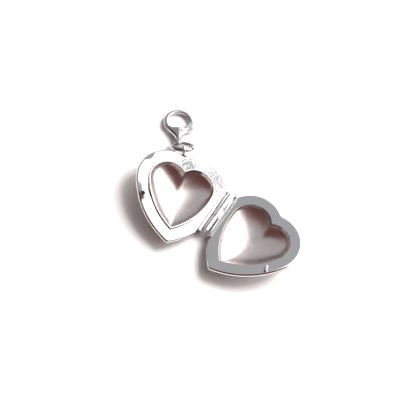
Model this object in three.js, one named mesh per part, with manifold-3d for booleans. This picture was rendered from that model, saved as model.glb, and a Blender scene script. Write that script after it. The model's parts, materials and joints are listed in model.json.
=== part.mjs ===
// An open heart locket charm: two domed heart halves on a three-knuckle hinge, a bail loop,
// a jump ring and a lobster clasp. Millimetres, +Z up, lying open on its domes at Z = 0.
// The hinge axis runs along Y, with the back half on its -X side. The origin is the middle of
// the charm's footprint.
import * as THREE from 'three';
import { mergeVertices } from 'three/addons/utils/BufferGeometryUtils.js';
import Module from 'manifold-3d';

const wasm = await Module();
wasm.setup();

// Heart outline: each side is a lobe arc that runs into one long side arc.
const LOBE_SPREAD = 2.4;
const LOBE_RADIUS = 3.52;
const SIDE_RADIUS = 12.96;
const TIP_DROP = 8.84;
const RIM_WIDTH = 2.08;
const OUTER_CLEFT_ROUND = 1.0;
const OUTER_TIP_ROUND = 0.55;
const CAVITY_CLEFT_ROUND = 0.22;
const CAVITY_TIP_ROUND = 0.2;
const CORNER_STEPS = 3;
const LOBE_STEPS = 12;
const SIDE_STEPS = 9;

// Each half: a flat rim plate over a domed shell.
const HALF_DEPTH = 2.8;
const RIM_THICKNESS = 0.45;
const SHEET = 0.4;
const DOME_MIDDLE = -1.6;
const DOME_SQUARENESS = 2.35;
const DOME_RINGS = 7;
const BOWL_ROUNDNESS = 1.4;
const BOWL_SOFTENING = 3.0;
const CLOSED_GAP = 0.16;
const SEAT = 0.03;
const CUT_THROUGH = 2;

// Hinge.
const OPEN_ANGLE = THREE.MathUtils.degToRad(162.8);
const HINGE_TURN = THREE.MathUtils.degToRad(20);
const HINGE_CHORD = 6.73;
const BEARER_WIDTH = 1.22;
const BEARER_LENGTH = 9.0;
const BEARER_DEPTH = 1.15;
const BEVEL_DROP = 0.25;
const BACK_CHAMFER = 0.45;
const HINGE_CENTRE = -0.45;
const KNUCKLE_RADIUS = 0.46;
const KNUCKLE_LENGTHS = [3.2, 1.95, 3.2];
const KNUCKLE_GAP = 0.06;
const KNUCKLE_LEG_RISE = 0.02;
const PIN_RADIUS = 0.2;
const PIN_HEAD = 0.14;
const PIN_HEAD_OVERHANG = 0.08;
const RUNNING_CLEARANCE = 0.05;

// Catch, nail notch and lip.
const PEG_SPOT = new THREE.Vector2(-6.05, -3.85);
const PEG_RADIUS = 0.35;
const PEG_WAIST = 0.27;
const PEG_HEIGHT = 1.1;
const PEG_WAIST_BOTTOM = 0.28;
const PEG_WAIST_TOP = 0.5;
const PEG_SHOULDER = 0.66;
const SOCKET_CLEARANCE = 0.06;
const NOTCH_WIDTH = 2.9;
const NOTCH_BITE = 0.8;
const NOTCH_DEPTH = 0.28;
const NOTCH_ANGLE = THREE.MathUtils.degToRad(143);
const LIP_THICKNESS = 0.28;
const LIP_HEIGHT = 0.3;
const LIP_CLEARANCE = 0.06;

// Bail loop and jump ring.
const BAIL_SPOT = -0.75;
const BAIL_LEAN = THREE.MathUtils.degToRad(25);
const BAIL_WIRE = 0.22;
const BAIL_CLEARANCE = 0.12;
const BAIL_POST_WIDTH = 0.7;
const BAIL_STANDOFF = 0.3;
const RING_RADIUS = 1.98;
const RING_WIRE = 0.4;
const BAIL_RADIUS = RING_WIRE + BAIL_CLEARANCE + BAIL_WIRE;
const RING_YAW = THREE.MathUtils.degToRad(30);
const EYE_ROUND_RING = THREE.MathUtils.degToRad(20);

// Lobster clasp, lying on the floor behind the jump ring.
const EYE_WIRE = 0.22;
const EYE_CLEARANCE = 0.2;
const EYE_RADIUS = RING_WIRE + EYE_CLEARANCE + EYE_WIRE;
const CLASP_YAW = THREE.MathUtils.degToRad(30);
const CLASP_TILT = THREE.MathUtils.degToRad(4);
const HOOK_CENTRE = 4.6;
const HOOK_RADIUS = 2.28;
const HOOK_WIRE_BASE = 0.5;
const HOOK_WIRE_TIP = 0.42;
const HOOK_START = THREE.MathUtils.degToRad(215);
const HOOK_END = THREE.MathUtils.degToRad(8);
const MOUTH_DEPTH = 1.55;
const MOUTH_GAP = 0.2;
const HOOK_FLUSH = 0.05;
const BODY_HALF_THICKNESS = 0.76;
const BODY_HALF_WIDTH = 2.4;
const NECK_HALF_WIDTH = 0.5;
const NECK_START = 0.8;
const BODY_OVERRUN = 0.6;
const BODY_STRAIGHTNESS = 0.35;
const SWELL_START = 0.15;
const SWELL_SPAN = 0.75;
const LEVER_THICKNESS = 0.7;
const LEVER_PIVOT = new THREE.Vector2(0.4, 2.4);
const LEVER_HUB = 0.42;
const LEVER_TIP_RADIUS = 0.33;
const LEVER_TAB_RADIUS = 0.45;
const LEVER_TAB_ROOT = 0.34;
const LEVER_TAB_ANGLE = THREE.MathUtils.degToRad(-31);
const LEVER_SWING = THREE.MathUtils.degToRad(26);
const SLOT_CLEARANCE = 0.06;
const SLOT_REACH = 3;
const RIVET_RADIUS = 0.17;
const RIVET_SINK = 0.06;
const SPRING_THICKNESS = 0.12;
const SPRING_WIDTH = 0.5;
const SPRING_LENGTH = 1.2;
const SPRING_LEAN = THREE.MathUtils.degToRad(20);
const SPRING_ROOM = 0.3;

const HINGE_REACH = HINGE_CHORD + BEARER_WIDTH;
const MOUTH_FLOOR = HOOK_CENTRE - MOUTH_DEPTH;
const HALF_TILT = (Math.PI - OPEN_ANGLE) / 2;
const FACE = -CLOSED_GAP / 2;
const RIM_UNDERSIDE = FACE - RIM_THICKNESS;
const DOME_BOTTOM = FACE - HALF_DEPTH;

function metal(color, roughness) {
  return new THREE.MeshStandardMaterial({ color, roughness, metalness: 1 });
}

function addPiece(parent, name, geometry, material) {
  const mesh = new THREE.Mesh(geometry, material);
  mesh.name = name;
  parent.add(mesh);
  return mesh;
}

// Closed meshes as solids, joined and cut, and back again.
function solidOf(geometry) {
  const bare = new THREE.BufferGeometry();
  bare.setAttribute('position', geometry.getAttribute('position'));
  bare.setIndex(geometry.getIndex());
  const merged = mergeVertices(bare);
  const vertProperties = new Float32Array(merged.getAttribute('position').array);
  const triVerts = new Uint32Array(merged.getIndex().array);
  return new wasm.Manifold(new wasm.Mesh({ numProp: 3, vertProperties, triVerts }));
}

function geometryOf(solid) {
  const mesh = solid.getMesh();
  const geometry = new THREE.BufferGeometry();
  geometry.setAttribute('position', new THREE.BufferAttribute(mesh.vertProperties, 3));
  geometry.setIndex(new THREE.BufferAttribute(mesh.triVerts, 1));
  geometry.computeVertexNormals();
  return geometry;
}

function joinAndCut(joined, cutters) {
  let solid = solidOf(joined[0]);
  for (const geometry of joined.slice(1)) {
    solid = solid.add(solidOf(geometry));
  }
  for (const geometry of cutters) {
    solid = solid.subtract(solidOf(geometry));
  }
  return geometryOf(solid);
}

// A closed skin through rings with equal numbers of points, and a point at each end.
function loft(first, rings, last) {
  const count = rings[0].length;
  const at = (ring, i) => 1 + ring * count + (i % count);
  const end = 1 + rings.length * count;
  const index = [];
  for (let i = 0; i < count; i += 1) {
    index.push(0, at(0, i + 1), at(0, i));
    for (let ring = 0; ring < rings.length - 1; ring += 1) {
      index.push(at(ring, i), at(ring, i + 1), at(ring + 1, i));
      index.push(at(ring, i + 1), at(ring + 1, i + 1), at(ring + 1, i));
    }
    index.push(at(rings.length - 1, i), at(rings.length - 1, i + 1), end);
  }
  const points = [first, ...rings.flat(), last];
  const geometry = new THREE.BufferGeometry().setFromPoints(points);
  geometry.setIndex(signedVolume(points, index) < 0 ? index.reverse() : index);
  geometry.computeVertexNormals();
  return geometry;
}

function signedVolume(points, index) {
  let total = 0;
  for (let i = 0; i < index.length; i += 3) {
    const [a, b, c] = [points[index[i]], points[index[i + 1]], points[index[i + 2]]];
    total += a.dot(new THREE.Vector3().crossVectors(b, c)) / 6;
  }
  return total;
}

function arc(centre, radius, from, to, steps) {
  const points = [];
  for (let i = 0; i < steps; i += 1) {
    const angle = THREE.MathUtils.lerp(from, to, i / steps);
    points.push(new THREE.Vector2(Math.cos(angle), Math.sin(angle)).multiplyScalar(radius).add(centre));
  }
  return points;
}

// Centre of the long side arc: inside it the lobe arc touches, and the cavity tip lies on it.
function sideArcCentre() {
  const lobe = new THREE.Vector2(LOBE_SPREAD, 0);
  const tip = new THREE.Vector2(0, -TIP_DROP);
  const span = lobe.distanceTo(tip);
  const reach = SIDE_RADIUS - LOBE_RADIUS;
  const along = (reach ** 2 - SIDE_RADIUS ** 2 + span ** 2) / (2 * span);
  const across = Math.sqrt(reach ** 2 - along ** 2);
  const direction = tip.clone().sub(lobe).normalize();
  return new THREE.Vector2(direction.y, -direction.x).multiplyScalar(across)
    .add(lobe).addScaledVector(direction, along);
}

// The heart, grown outwards by offset, from its cleft round to its tip and back.
function heartOutline(offset, cleftRound, tipRound) {
  const lobe = new THREE.Vector2(LOBE_SPREAD, 0);
  const side = sideArcCentre();
  const lobeRadius = LOBE_RADIUS + offset;
  const sideRadius = SIDE_RADIUS + offset;
  const cleft = new THREE.Vector2(0, Math.sqrt((lobeRadius + cleftRound) ** 2 - LOBE_SPREAD ** 2));
  const tip = new THREE.Vector2(0, side.y - Math.sqrt((sideRadius - tipRound) ** 2 - side.x ** 2));
  const toLobe = Math.atan2(-cleft.y, LOBE_SPREAD);
  const toSide = Math.atan2(-side.y, LOBE_SPREAD - side.x);
  const toTip = Math.atan2(tip.y - side.y, -side.x);
  const right = [
    ...arc(cleft, cleftRound, -Math.PI / 2, toLobe, CORNER_STEPS),
    ...arc(lobe, lobeRadius, toLobe + Math.PI, toSide, LOBE_STEPS),
    ...arc(side, sideRadius, toSide, toTip, SIDE_STEPS),
    ...arc(tip, tipRound, toTip, -Math.PI / 2, CORNER_STEPS),
  ];
  const bottom = new THREE.Vector2(0, tip.y - tipRound);
  const left = right.slice(1).reverse().map((p) => new THREE.Vector2(-p.x, p.y));
  return [...right, bottom, ...left];
}

// A half's outer outline, inset from its rim edge and cut straight beside the hinge.
function halfOutline(side, inset) {
  const normal = new THREE.Vector2(side * Math.cos(HINGE_TURN), -Math.sin(HINGE_TURN));
  const limit = HINGE_CHORD - inset;
  const outline = heartOutline(RIM_WIDTH - inset, OUTER_CLEFT_ROUND + inset, OUTER_TIP_ROUND);
  return outline.map((p) => p.addScaledVector(normal, -Math.max(0, p.dot(normal) - limit)));
}

function cavityOutline(inset) {
  return heartOutline(-inset, CAVITY_CLEFT_ROUND, CAVITY_TIP_ROUND);
}

function cleftHeight() {
  return halfOutline(1, 0)[0].y;
}

// An outline's corners, anticlockwise, without the points in the middle of a straight run.
function corners(outline) {
  const count = outline.length;
  const kept = outline.filter((p, i) => {
    const before = p.clone().sub(outline[(i + count - 1) % count]);
    const after = outline[(i + 1) % count].clone().sub(p);
    return Math.abs(before.cross(after)) > 1e-6;
  });
  return THREE.ShapeUtils.isClockWise(kept) ? kept.reverse() : kept;
}

function plate(outline, holes, bottom, top) {
  const shape = new THREE.Shape(corners(outline));
  shape.holes = holes.map((points) => new THREE.Path(corners(points)));
  const geometry = new THREE.ExtrudeGeometry(shape, { depth: top - bottom, bevelEnabled: false });
  return geometry.translate(0, 0, bottom);
}

function cylinder(radius, bottom, top, spot, segments = 24) {
  const geometry = new THREE.CylinderGeometry(radius, radius, top - bottom, segments);
  return geometry.rotateX(Math.PI / 2).translate(spot.x, spot.y, (top + bottom) / 2);
}

// Rings down a dome or a bowl, from the rim's underside to its lowest point. The outline may
// change with how far a ring has closed in.
function sunkRings(outlineAt, bottom, inwards, downwards) {
  const middle = new THREE.Vector2(0, DOME_MIDDLE);
  return Array.from({ length: DOME_RINGS }, (_, i) => {
    const turn = (i / DOME_RINGS) * (Math.PI / 2);
    const scale = Math.cos(turn) ** inwards;
    const share = Math.sin(turn) ** downwards;
    const z = THREE.MathUtils.lerp(RIM_UNDERSIDE - SEAT, bottom, share);
    return outlineAt(1 - scale).map((p) => {
      const flat = p.clone().sub(middle).multiplyScalar(scale).add(middle);
      return new THREE.Vector3(flat.x, flat.y, z);
    });
  });
}

// The shell: a domed back with a bowl sunk in it, as wide as the half's clear opening. The
// bowl's creases at cleft and tip fade towards its middle.
function shellGeometry(side) {
  const bowlEdge = side > 0 ? LIP_CLEARANCE + LIP_THICKNESS : 0;
  const bowlBottom = DOME_BOTTOM + SHEET;
  const square = 2 / DOME_SQUARENESS;
  const outer = sunkRings(() => halfOutline(side, 0), DOME_BOTTOM, square, square);
  const bowlOutline = (closed) => {
    const softer = BOWL_SOFTENING * closed;
    return heartOutline(-bowlEdge, CAVITY_CLEFT_ROUND + softer, CAVITY_TIP_ROUND + softer);
  };
  const bowl = sunkRings(bowlOutline, bowlBottom, 1, BOWL_ROUNDNESS).reverse();
  const lowestPoint = (z) => new THREE.Vector3(0, DOME_MIDDLE, z);
  return loft(lowestPoint(bowlBottom), [...bowl, ...outer], lowestPoint(DOME_BOTTOM));
}

// The hole that the catch peg goes into.
function socket() {
  return cylinder(PEG_RADIUS + SOCKET_CLEARANCE, FACE - PEG_HEIGHT, CUT_THROUGH, PEG_SPOT);
}

// A shallow step for a fingernail, bitten out of the rim's outer edge.
function nailNotch() {
  const radius = (NOTCH_WIDTH ** 2 / 4 + NOTCH_BITE ** 2) / (2 * NOTCH_BITE);
  const out = new THREE.Vector2(Math.cos(NOTCH_ANGLE), Math.sin(NOTCH_ANGLE));
  const reach = LOBE_RADIUS + RIM_WIDTH + radius - NOTCH_BITE;
  const spot = out.multiplyScalar(reach).add(new THREE.Vector2(-LOBE_SPREAD, 0));
  return cylinder(radius, FACE - NOTCH_DEPTH, CUT_THROUGH, spot);
}

function chamferDrop() {
  return BEVEL_DROP * BACK_CHAMFER / (BEARER_WIDTH - KNUCKLE_RADIUS);
}

// The wedge that carries the back bearer's bevel on into the rim plate.
function rimChamfer() {
  const start = BEARER_WIDTH - SEAT;
  const drop = chamferDrop();
  const section = [
    new THREE.Vector2(start, FACE - drop),
    new THREE.Vector2(BEARER_WIDTH + BACK_CHAMFER, FACE),
    new THREE.Vector2(BEARER_WIDTH + BACK_CHAMFER, CUT_THROUGH),
    new THREE.Vector2(start, CUT_THROUGH),
  ];
  return alongHinge(-1, section, HINGE_CENTRE - BEARER_LENGTH, 2 * BEARER_LENGTH)
    .translate(HINGE_REACH, 0, 0).rotateZ(-HINGE_TURN);
}

function backRimGeometry() {
  const rim = plate(halfOutline(1, 0), [cavityOutline(0)], RIM_UNDERSIDE, FACE);
  return joinAndCut([rim], [socket(), nailNotch(), rimChamfer()]);
}

function frontRimGeometry() {
  return plate(halfOutline(-1, 0), [cavityOutline(0)], RIM_UNDERSIDE, FACE);
}

function lipGeometry() {
  const outside = cavityOutline(LIP_CLEARANCE);
  const inside = cavityOutline(LIP_CLEARANCE + LIP_THICKNESS);
  return plate(outside, [inside], RIM_UNDERSIDE, FACE + LIP_HEIGHT);
}

// A snap peg: a waist below a rounded head.
function pegGeometry() {
  const crown = PEG_RADIUS / 2;
  const profile = [
    new THREE.Vector2(0, 0),
    new THREE.Vector2(PEG_RADIUS, 0),
    new THREE.Vector2(PEG_WAIST, PEG_WAIST_BOTTOM),
    new THREE.Vector2(PEG_WAIST, PEG_WAIST_TOP),
    new THREE.Vector2(PEG_RADIUS, PEG_SHOULDER),
    new THREE.Vector2(PEG_RADIUS, PEG_HEIGHT - crown),
    new THREE.Vector2(PEG_RADIUS * 0.7, PEG_HEIGHT - crown / 3),
    new THREE.Vector2(0, PEG_HEIGHT),
  ];
  return new THREE.LatheGeometry(profile, 20).rotateX(Math.PI / 2)
    .translate(-PEG_SPOT.x, PEG_SPOT.y, FACE + SEAT);
}

// A section drawn across the hinge (away from the axis, up), drawn out along Y.
function alongHinge(side, section, start, length) {
  const turned = section.map((p) => new THREE.Vector2(side * p.x, p.y));
  return plate(turned, [], 0, length).rotateX(Math.PI / 2).translate(0, start + length, 0);
}

function bearerGeometry(side) {
  const inner = KNUCKLE_RADIUS + KNUCKLE_GAP;
  const outer = BEARER_WIDTH - SEAT;
  const top = side < 0 ? FACE - chamferDrop() : FACE;
  const section = [
    new THREE.Vector2(outer, top),
    new THREE.Vector2(inner, top - BEVEL_DROP),
    new THREE.Vector2(inner, FACE - BEARER_DEPTH),
    new THREE.Vector2(outer, FACE - BEARER_DEPTH),
  ];
  return alongHinge(side, section, HINGE_CENTRE - BEARER_LENGTH / 2, BEARER_LENGTH);
}

// A rolled knuckle: a barrel round the pin with a short leg back to its bearer.
function knuckleGeometry(side, order) {
  const before = KNUCKLE_LENGTHS.slice(0, order).reduce((sum, length) => sum + length, 0);
  const start = HINGE_CENTRE - hingeLength() / 2 + before + KNUCKLE_GAP / 2;
  const length = KNUCKLE_LENGTHS[order] - KNUCKLE_GAP;
  const reach = KNUCKLE_RADIUS + KNUCKLE_GAP - SEAT;
  const thickness = KNUCKLE_RADIUS - PIN_RADIUS;
  const alongPin = (radius, extra) => new THREE.CylinderGeometry(radius, radius, length + extra, 24)
    .translate(0, start + length / 2, 0);
  const leg = new THREE.BoxGeometry(reach, length, thickness)
    .translate(side * reach / 2, start + length / 2, -KNUCKLE_RADIUS + thickness / 2 + KNUCKLE_LEG_RISE);
  return joinAndCut([alongPin(KNUCKLE_RADIUS, 0), leg], [alongPin(PIN_RADIUS + RUNNING_CLEARANCE, 1)]);
}

function hingeLength() {
  return KNUCKLE_LENGTHS.reduce((sum, length) => sum + length, 0);
}

function hingePinGeometry() {
  const reach = hingeLength() / 2 + PIN_HEAD;
  const head = PIN_RADIUS + RUNNING_CLEARANCE + PIN_HEAD_OVERHANG;
  const half = [
    new THREE.Vector2(PIN_RADIUS, reach - PIN_HEAD),
    new THREE.Vector2(head, reach - PIN_HEAD),
    new THREE.Vector2(head, reach - PIN_HEAD / 2),
    new THREE.Vector2(head * 0.6, reach),
    new THREE.Vector2(0, reach),
  ];
  const other = half.map((p) => new THREE.Vector2(p.x, -p.y)).reverse();
  return new THREE.LatheGeometry([...other, ...half], 20).translate(0, HINGE_CENTRE, 0);
}

// A loop on a short post, soldered beside the back half's cleft, level with the closed seam.
function bailGeometry() {
  const top = BAIL_STANDOFF + BAIL_WIRE;
  const depth = RIM_THICKNESS - FACE;
  const loop = new THREE.TorusGeometry(BAIL_RADIUS, BAIL_WIRE, 12, 32).rotateY(Math.PI / 2)
    .translate(0, bailReach(), 0);
  const post = new THREE.BoxGeometry(BAIL_POST_WIDTH, top + BAIL_RADIUS, depth)
    .translate(0, (top - BAIL_RADIUS) / 2, -depth / 2);
  for (const geometry of [loop, post]) {
    geometry.rotateZ(BAIL_LEAN).translate(BAIL_SPOT, cleftHeight(), 0);
  }
  return joinAndCut([loop, post], [plate(halfOutline(1, -SEAT), [], DOME_BOTTOM, CUT_THROUGH)]);
}

function bailReach() {
  return BAIL_STANDOFF + BAIL_RADIUS + BAIL_WIRE;
}

function bailCentre() {
  return new THREE.Vector3(0, bailReach(), 0)
    .applyAxisAngle(new THREE.Vector3(0, 0, 1), BAIL_LEAN)
    .add(new THREE.Vector3(BAIL_SPOT, cleftHeight(), 0));
}

// A ring that hangs from its own origin: the wire's centre line passes through it.
function jumpRingGeometry() {
  return new THREE.TorusGeometry(RING_RADIUS, RING_WIRE, 14, 48).translate(0, RING_RADIUS, 0);
}

function roundSection(centre, along, radiusAcross, radiusUp, count = 14) {
  const across = new THREE.Vector3(along.y, -along.x, 0);
  return Array.from({ length: count }, (_, i) => {
    const angle = (i / count) * 2 * Math.PI;
    return centre.clone().addScaledVector(across, Math.cos(angle) * radiusAcross)
      .add(new THREE.Vector3(0, 0, Math.sin(angle) * radiusUp));
  });
}

// The hook: a tapering wire that runs up the left, over the top and down to the mouth.
function hookGeometry() {
  const steps = 22;
  const rings = [];
  const ends = [];
  for (let i = 0; i <= steps; i += 1) {
    const angle = THREE.MathUtils.lerp(HOOK_START, HOOK_END, i / steps);
    const radius = THREE.MathUtils.lerp(HOOK_WIRE_BASE, HOOK_WIRE_TIP, i / steps);
    const centre = new THREE.Vector3(Math.cos(angle), Math.sin(angle), 0).multiplyScalar(HOOK_RADIUS);
    centre.y += HOOK_CENTRE;
    const along = new THREE.Vector3(Math.sin(angle), -Math.cos(angle), 0);
    ends.push(centre);
    rings.push(roundSection(centre, along, radius, radius));
  }
  return loft(ends[0], rings, ends[steps]);
}

// The body widens from its neck to the hook's base, and is thickest in the middle.
function claspTeardropGeometry() {
  const steps = 9;
  const rings = [];
  const ends = [];
  for (let i = 0; i <= steps; i += 1) {
    const share = i / steps;
    const ease = share * share * (3 - 2 * share);
    const height = THREE.MathUtils.lerp(NECK_START, MOUTH_FLOOR + BODY_OVERRUN, share);
    const flare = THREE.MathUtils.lerp(ease, share, BODY_STRAIGHTNESS);
    const swell = Math.sin(Math.PI * (SWELL_START + SWELL_SPAN * share));
    const centre = new THREE.Vector3(0, height, 0);
    const halfWidth = THREE.MathUtils.lerp(NECK_HALF_WIDTH, BODY_HALF_WIDTH, flare);
    const halfThickness = THREE.MathUtils.lerp(NECK_HALF_WIDTH, BODY_HALF_THICKNESS, swell);
    ends.push(centre);
    rings.push(roundSection(centre, new THREE.Vector3(0, 1, 0), halfWidth, halfThickness, 20));
  }
  return loft(ends[0], rings, ends[steps]);
}

function mouthCutter() {
  const radius = HOOK_RADIUS - (HOOK_WIRE_BASE + HOOK_WIRE_TIP) / 4 - HOOK_FLUSH;
  const circle = arc(new THREE.Vector2(0, HOOK_CENTRE), radius, 0, 2 * Math.PI, 36);
  const cut = circle.map((p) => new THREE.Vector2(p.x, Math.max(p.y, MOUTH_FLOOR)));
  return plate(cut, [], -CUT_THROUGH, CUT_THROUGH);
}

// Room in the body's right shoulder where the lever's hub sits and its tab swings down.
function leverSlot() {
  const left = LEVER_PIVOT.x - LEVER_HUB - SLOT_CLEARANCE;
  return new THREE.BoxGeometry(SLOT_REACH, SLOT_REACH, LEVER_THICKNESS + 2 * SLOT_CLEARANCE)
    .translate(left + SLOT_REACH / 2, slotFloor() + SLOT_REACH / 2, 0);
}

function slotFloor() {
  const tab = leverTab().sub(LEVER_PIVOT);
  const lowered = tab.rotateAround(new THREE.Vector2(), -LEVER_SWING).add(LEVER_PIVOT);
  return Math.min(lowered.y - LEVER_TAB_RADIUS, LEVER_PIVOT.y - LEVER_HUB) - SPRING_ROOM;
}

function claspBodyGeometry() {
  const eye = new THREE.TorusGeometry(EYE_RADIUS, EYE_WIRE, 12, 28).rotateY(Math.PI / 2);
  const bore = cylinder(RIVET_RADIUS + RUNNING_CLEARANCE / 2, -CUT_THROUGH, CUT_THROUGH, LEVER_PIVOT, 16);
  return joinAndCut(
    [claspTeardropGeometry(), hookGeometry(), eye],
    [mouthCutter(), leverSlot(), bore],
  );
}

// A spot on the hook's ring, by angle and by how far it stands out from the wire's centre line.
function onRing(angle, outwards) {
  const reach = HOOK_RADIUS + outwards;
  return new THREE.Vector2(Math.cos(angle) * reach, Math.sin(angle) * reach + HOOK_CENTRE);
}

// The lever's tip waits just below the hook's tip; its thumb tab stands out lower down.
function leverTip() {
  return onRing(HOOK_END - (MOUTH_GAP + LEVER_TIP_RADIUS) / HOOK_RADIUS, 0);
}

function leverTab() {
  return onRing(LEVER_TAB_ANGLE, LEVER_TAB_RADIUS / 2);
}

function bar(from, to, radiusFrom, radiusTo, thickness) {
  const lean = Math.atan2(to.y - from.y, to.x - from.x);
  const quarter = Math.PI / 2;
  const outline = [
    ...arc(from, radiusFrom, lean + quarter, lean + 3 * quarter, 8),
    ...arc(to, radiusTo, lean - quarter, lean + quarter, 8),
    to.clone().add(new THREE.Vector2(Math.cos(lean + quarter), Math.sin(lean + quarter))
      .multiplyScalar(radiusTo)),
  ];
  return plate(outline, [], -thickness / 2, thickness / 2);
}

function leverGeometry() {
  const bore = cylinder(RIVET_RADIUS + RUNNING_CLEARANCE, -CUT_THROUGH, CUT_THROUGH, LEVER_PIVOT, 16);
  const arm = bar(LEVER_PIVOT, leverTip(), LEVER_HUB, LEVER_TIP_RADIUS, LEVER_THICKNESS);
  const tab = bar(LEVER_PIVOT, leverTab(), LEVER_TAB_ROOT, LEVER_TAB_RADIUS, LEVER_THICKNESS);
  return joinAndCut([arm, tab], [bore]);
}

// A leaf spring in the slot's left corner, bent up under the lever's arm.
function leafSpringGeometry() {
  const start = new THREE.Vector2(LEVER_PIVOT.x - LEVER_HUB, slotFloor() + SPRING_THICKNESS / 2 + SEAT);
  const end = new THREE.Vector2(Math.cos(SPRING_LEAN), Math.sin(SPRING_LEAN))
    .multiplyScalar(SPRING_LENGTH).add(start);
  return bar(start, end, SPRING_THICKNESS / 2, SPRING_THICKNESS / 2, SPRING_WIDTH);
}

function rivetGeometry() {
  const reach = BODY_HALF_THICKNESS - RIVET_SINK;
  return cylinder(RIVET_RADIUS, -reach, reach, LEVER_PIVOT, 16);
}

// The pose of everything that lies on the floor follows from the domes' lowest points.
function lowest(object) {
  return new THREE.Box3().setFromObject(object, true).min.z;
}

const charm = new THREE.Group();
const polished = () => metal(0xd9dadd, 0.12);
const satin = () => metal(0xc9c4c2, 0.35);

// The two halves mirror each other about the hinge; side is +1 where the hinge is on +X.
function makeHalf(side) {
  const half = new THREE.Group();
  half.rotation.y = side * HALF_TILT;
  const heart = new THREE.Group();
  heart.position.x = -side * HINGE_REACH;
  heart.rotation.z = side * HINGE_TURN;
  half.add(heart);
  charm.add(half);
  return { half, heart };
}

const back = makeHalf(1);
addPiece(back.heart, 'back_shell', joinAndCut([shellGeometry(1)], [socket()]), satin());
addPiece(back.heart, 'back_rim', backRimGeometry(), polished());
addPiece(back.heart, 'back_lip', lipGeometry(), polished());
addPiece(back.heart, 'bail_loop', bailGeometry(), polished());
addPiece(back.half, 'back_bearer', bearerGeometry(-1), polished());
addPiece(back.half, 'back_knuckle_lower', knuckleGeometry(-1, 0), polished());
addPiece(back.half, 'back_knuckle_upper', knuckleGeometry(-1, 2), polished());
addPiece(back.half, 'hinge_pin', hingePinGeometry(), polished());

const front = makeHalf(-1);
addPiece(front.heart, 'front_shell', shellGeometry(-1), satin());
addPiece(front.heart, 'front_rim', frontRimGeometry(), polished());
addPiece(front.heart, 'catch_peg', pegGeometry(), polished());
addPiece(front.half, 'front_bearer', bearerGeometry(1), polished());
addPiece(front.half, 'front_knuckle_middle', knuckleGeometry(1, 1), polished());

const hingeHeight = -lowest(charm);
for (const { half } of [back, front]) {
  half.position.z = hingeHeight;
}
charm.updateMatrixWorld(true);

// The jump ring slopes from the bail's hole down to the clasp's eye.
const bailSpot = back.heart.localToWorld(bailCentre());
const eyeHeight = EYE_RADIUS + EYE_WIRE;
const eyeAlong = RING_RADIUS * (1 + Math.cos(EYE_ROUND_RING));
const ringSlope = Math.asin((bailSpot.z - eyeHeight) / eyeAlong);
const ringHang = new THREE.Group();
ringHang.position.copy(bailSpot);
ringHang.rotation.set(-ringSlope, 0, RING_YAW, 'ZYX');
charm.add(ringHang);
addPiece(ringHang, 'jump_ring', jumpRingGeometry(), polished());
charm.updateMatrixWorld(true);

const eyeSpot = ringHang.localToWorld(
  new THREE.Vector3(-RING_RADIUS * Math.sin(EYE_ROUND_RING), eyeAlong, 0),
);
const clasp = new THREE.Group();
clasp.position.copy(eyeSpot);
clasp.rotation.set(-CLASP_TILT, 0, CLASP_YAW, 'ZYX');
charm.add(clasp);
addPiece(clasp, 'clasp_body', claspBodyGeometry(), polished());
addPiece(clasp, 'lever_rivet', rivetGeometry(), polished());
addPiece(clasp, 'clasp_lever', leverGeometry(), polished());
addPiece(clasp, 'lever_spring', leafSpringGeometry(), metal(0x9a9ba0, 0.3));

const footprint = new THREE.Box3().setFromObject(charm, true);
const middle = footprint.getCenter(new THREE.Vector3());
charm.position.set(-middle.x, -middle.y, -footprint.min.z);

export default charm;
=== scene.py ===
"""Looks for a heart locket charm: rims, domes, lip, hinge, catch, bail, jump ring and clasp.

Every piece is drawn in millimetres in its own part of the charm, and is then placed in the
frame in metres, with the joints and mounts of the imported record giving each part's place.
"""

import json
import math
from types import SimpleNamespace

import bmesh
import bpy
from mathutils import Matrix, Vector


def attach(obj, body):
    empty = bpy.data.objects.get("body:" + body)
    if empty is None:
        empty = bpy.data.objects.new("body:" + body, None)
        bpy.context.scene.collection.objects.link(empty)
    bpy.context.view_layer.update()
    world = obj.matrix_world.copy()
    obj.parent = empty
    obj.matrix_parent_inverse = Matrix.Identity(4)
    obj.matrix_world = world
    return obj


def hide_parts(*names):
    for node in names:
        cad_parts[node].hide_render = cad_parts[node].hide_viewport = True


bl_info = {
    "name": "Heart Locket Charm",
    "version": (1, 0, 0),
    "blender": (4, 5, 0),
    "location": "View3D > Sidebar > Locket",
    "description": "Builds an open heart locket charm with its hinge, jump ring and clasp",
    "category": "Add Mesh",
}

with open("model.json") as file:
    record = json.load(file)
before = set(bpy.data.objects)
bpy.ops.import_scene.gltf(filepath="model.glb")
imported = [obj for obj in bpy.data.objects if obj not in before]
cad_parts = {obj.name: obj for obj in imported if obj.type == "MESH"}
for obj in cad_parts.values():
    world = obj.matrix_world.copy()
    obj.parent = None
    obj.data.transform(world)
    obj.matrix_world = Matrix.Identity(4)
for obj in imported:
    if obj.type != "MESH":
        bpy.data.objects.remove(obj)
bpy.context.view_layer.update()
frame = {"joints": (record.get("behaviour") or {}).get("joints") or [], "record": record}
joints = {joint["name"]: joint for joint in frame["joints"]}
mounts = {mount["name"]: mount for mount in frame["record"]["mounts"]}

# In millimetres: how deep one piece sits into the next, and how far a cutter runs past it.
SEAT = 0.03
CUT_THROUGH = 2

# The two halves mirror each other about the hinge.
BACK, FRONT = 1, -1


def length(name, description, default):
    return bpy.props.FloatProperty(
        name=name, description=description, default=default, min=0.0, precision=5, unit="LENGTH"
    )


def angle(name, description, default):
    return bpy.props.FloatProperty(
        name=name, description=description, default=math.radians(default), unit="ROTATION"
    )


def colour(name, description, default):
    return bpy.props.FloatVectorProperty(
        name=name, description=description, default=default, min=0.0, max=1.0, size=3, subtype="COLOR"
    )


def share(name, description, default):
    return bpy.props.FloatProperty(
        name=name, description=description, default=default, min=0.0, max=1.0, subtype="FACTOR"
    )


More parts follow.
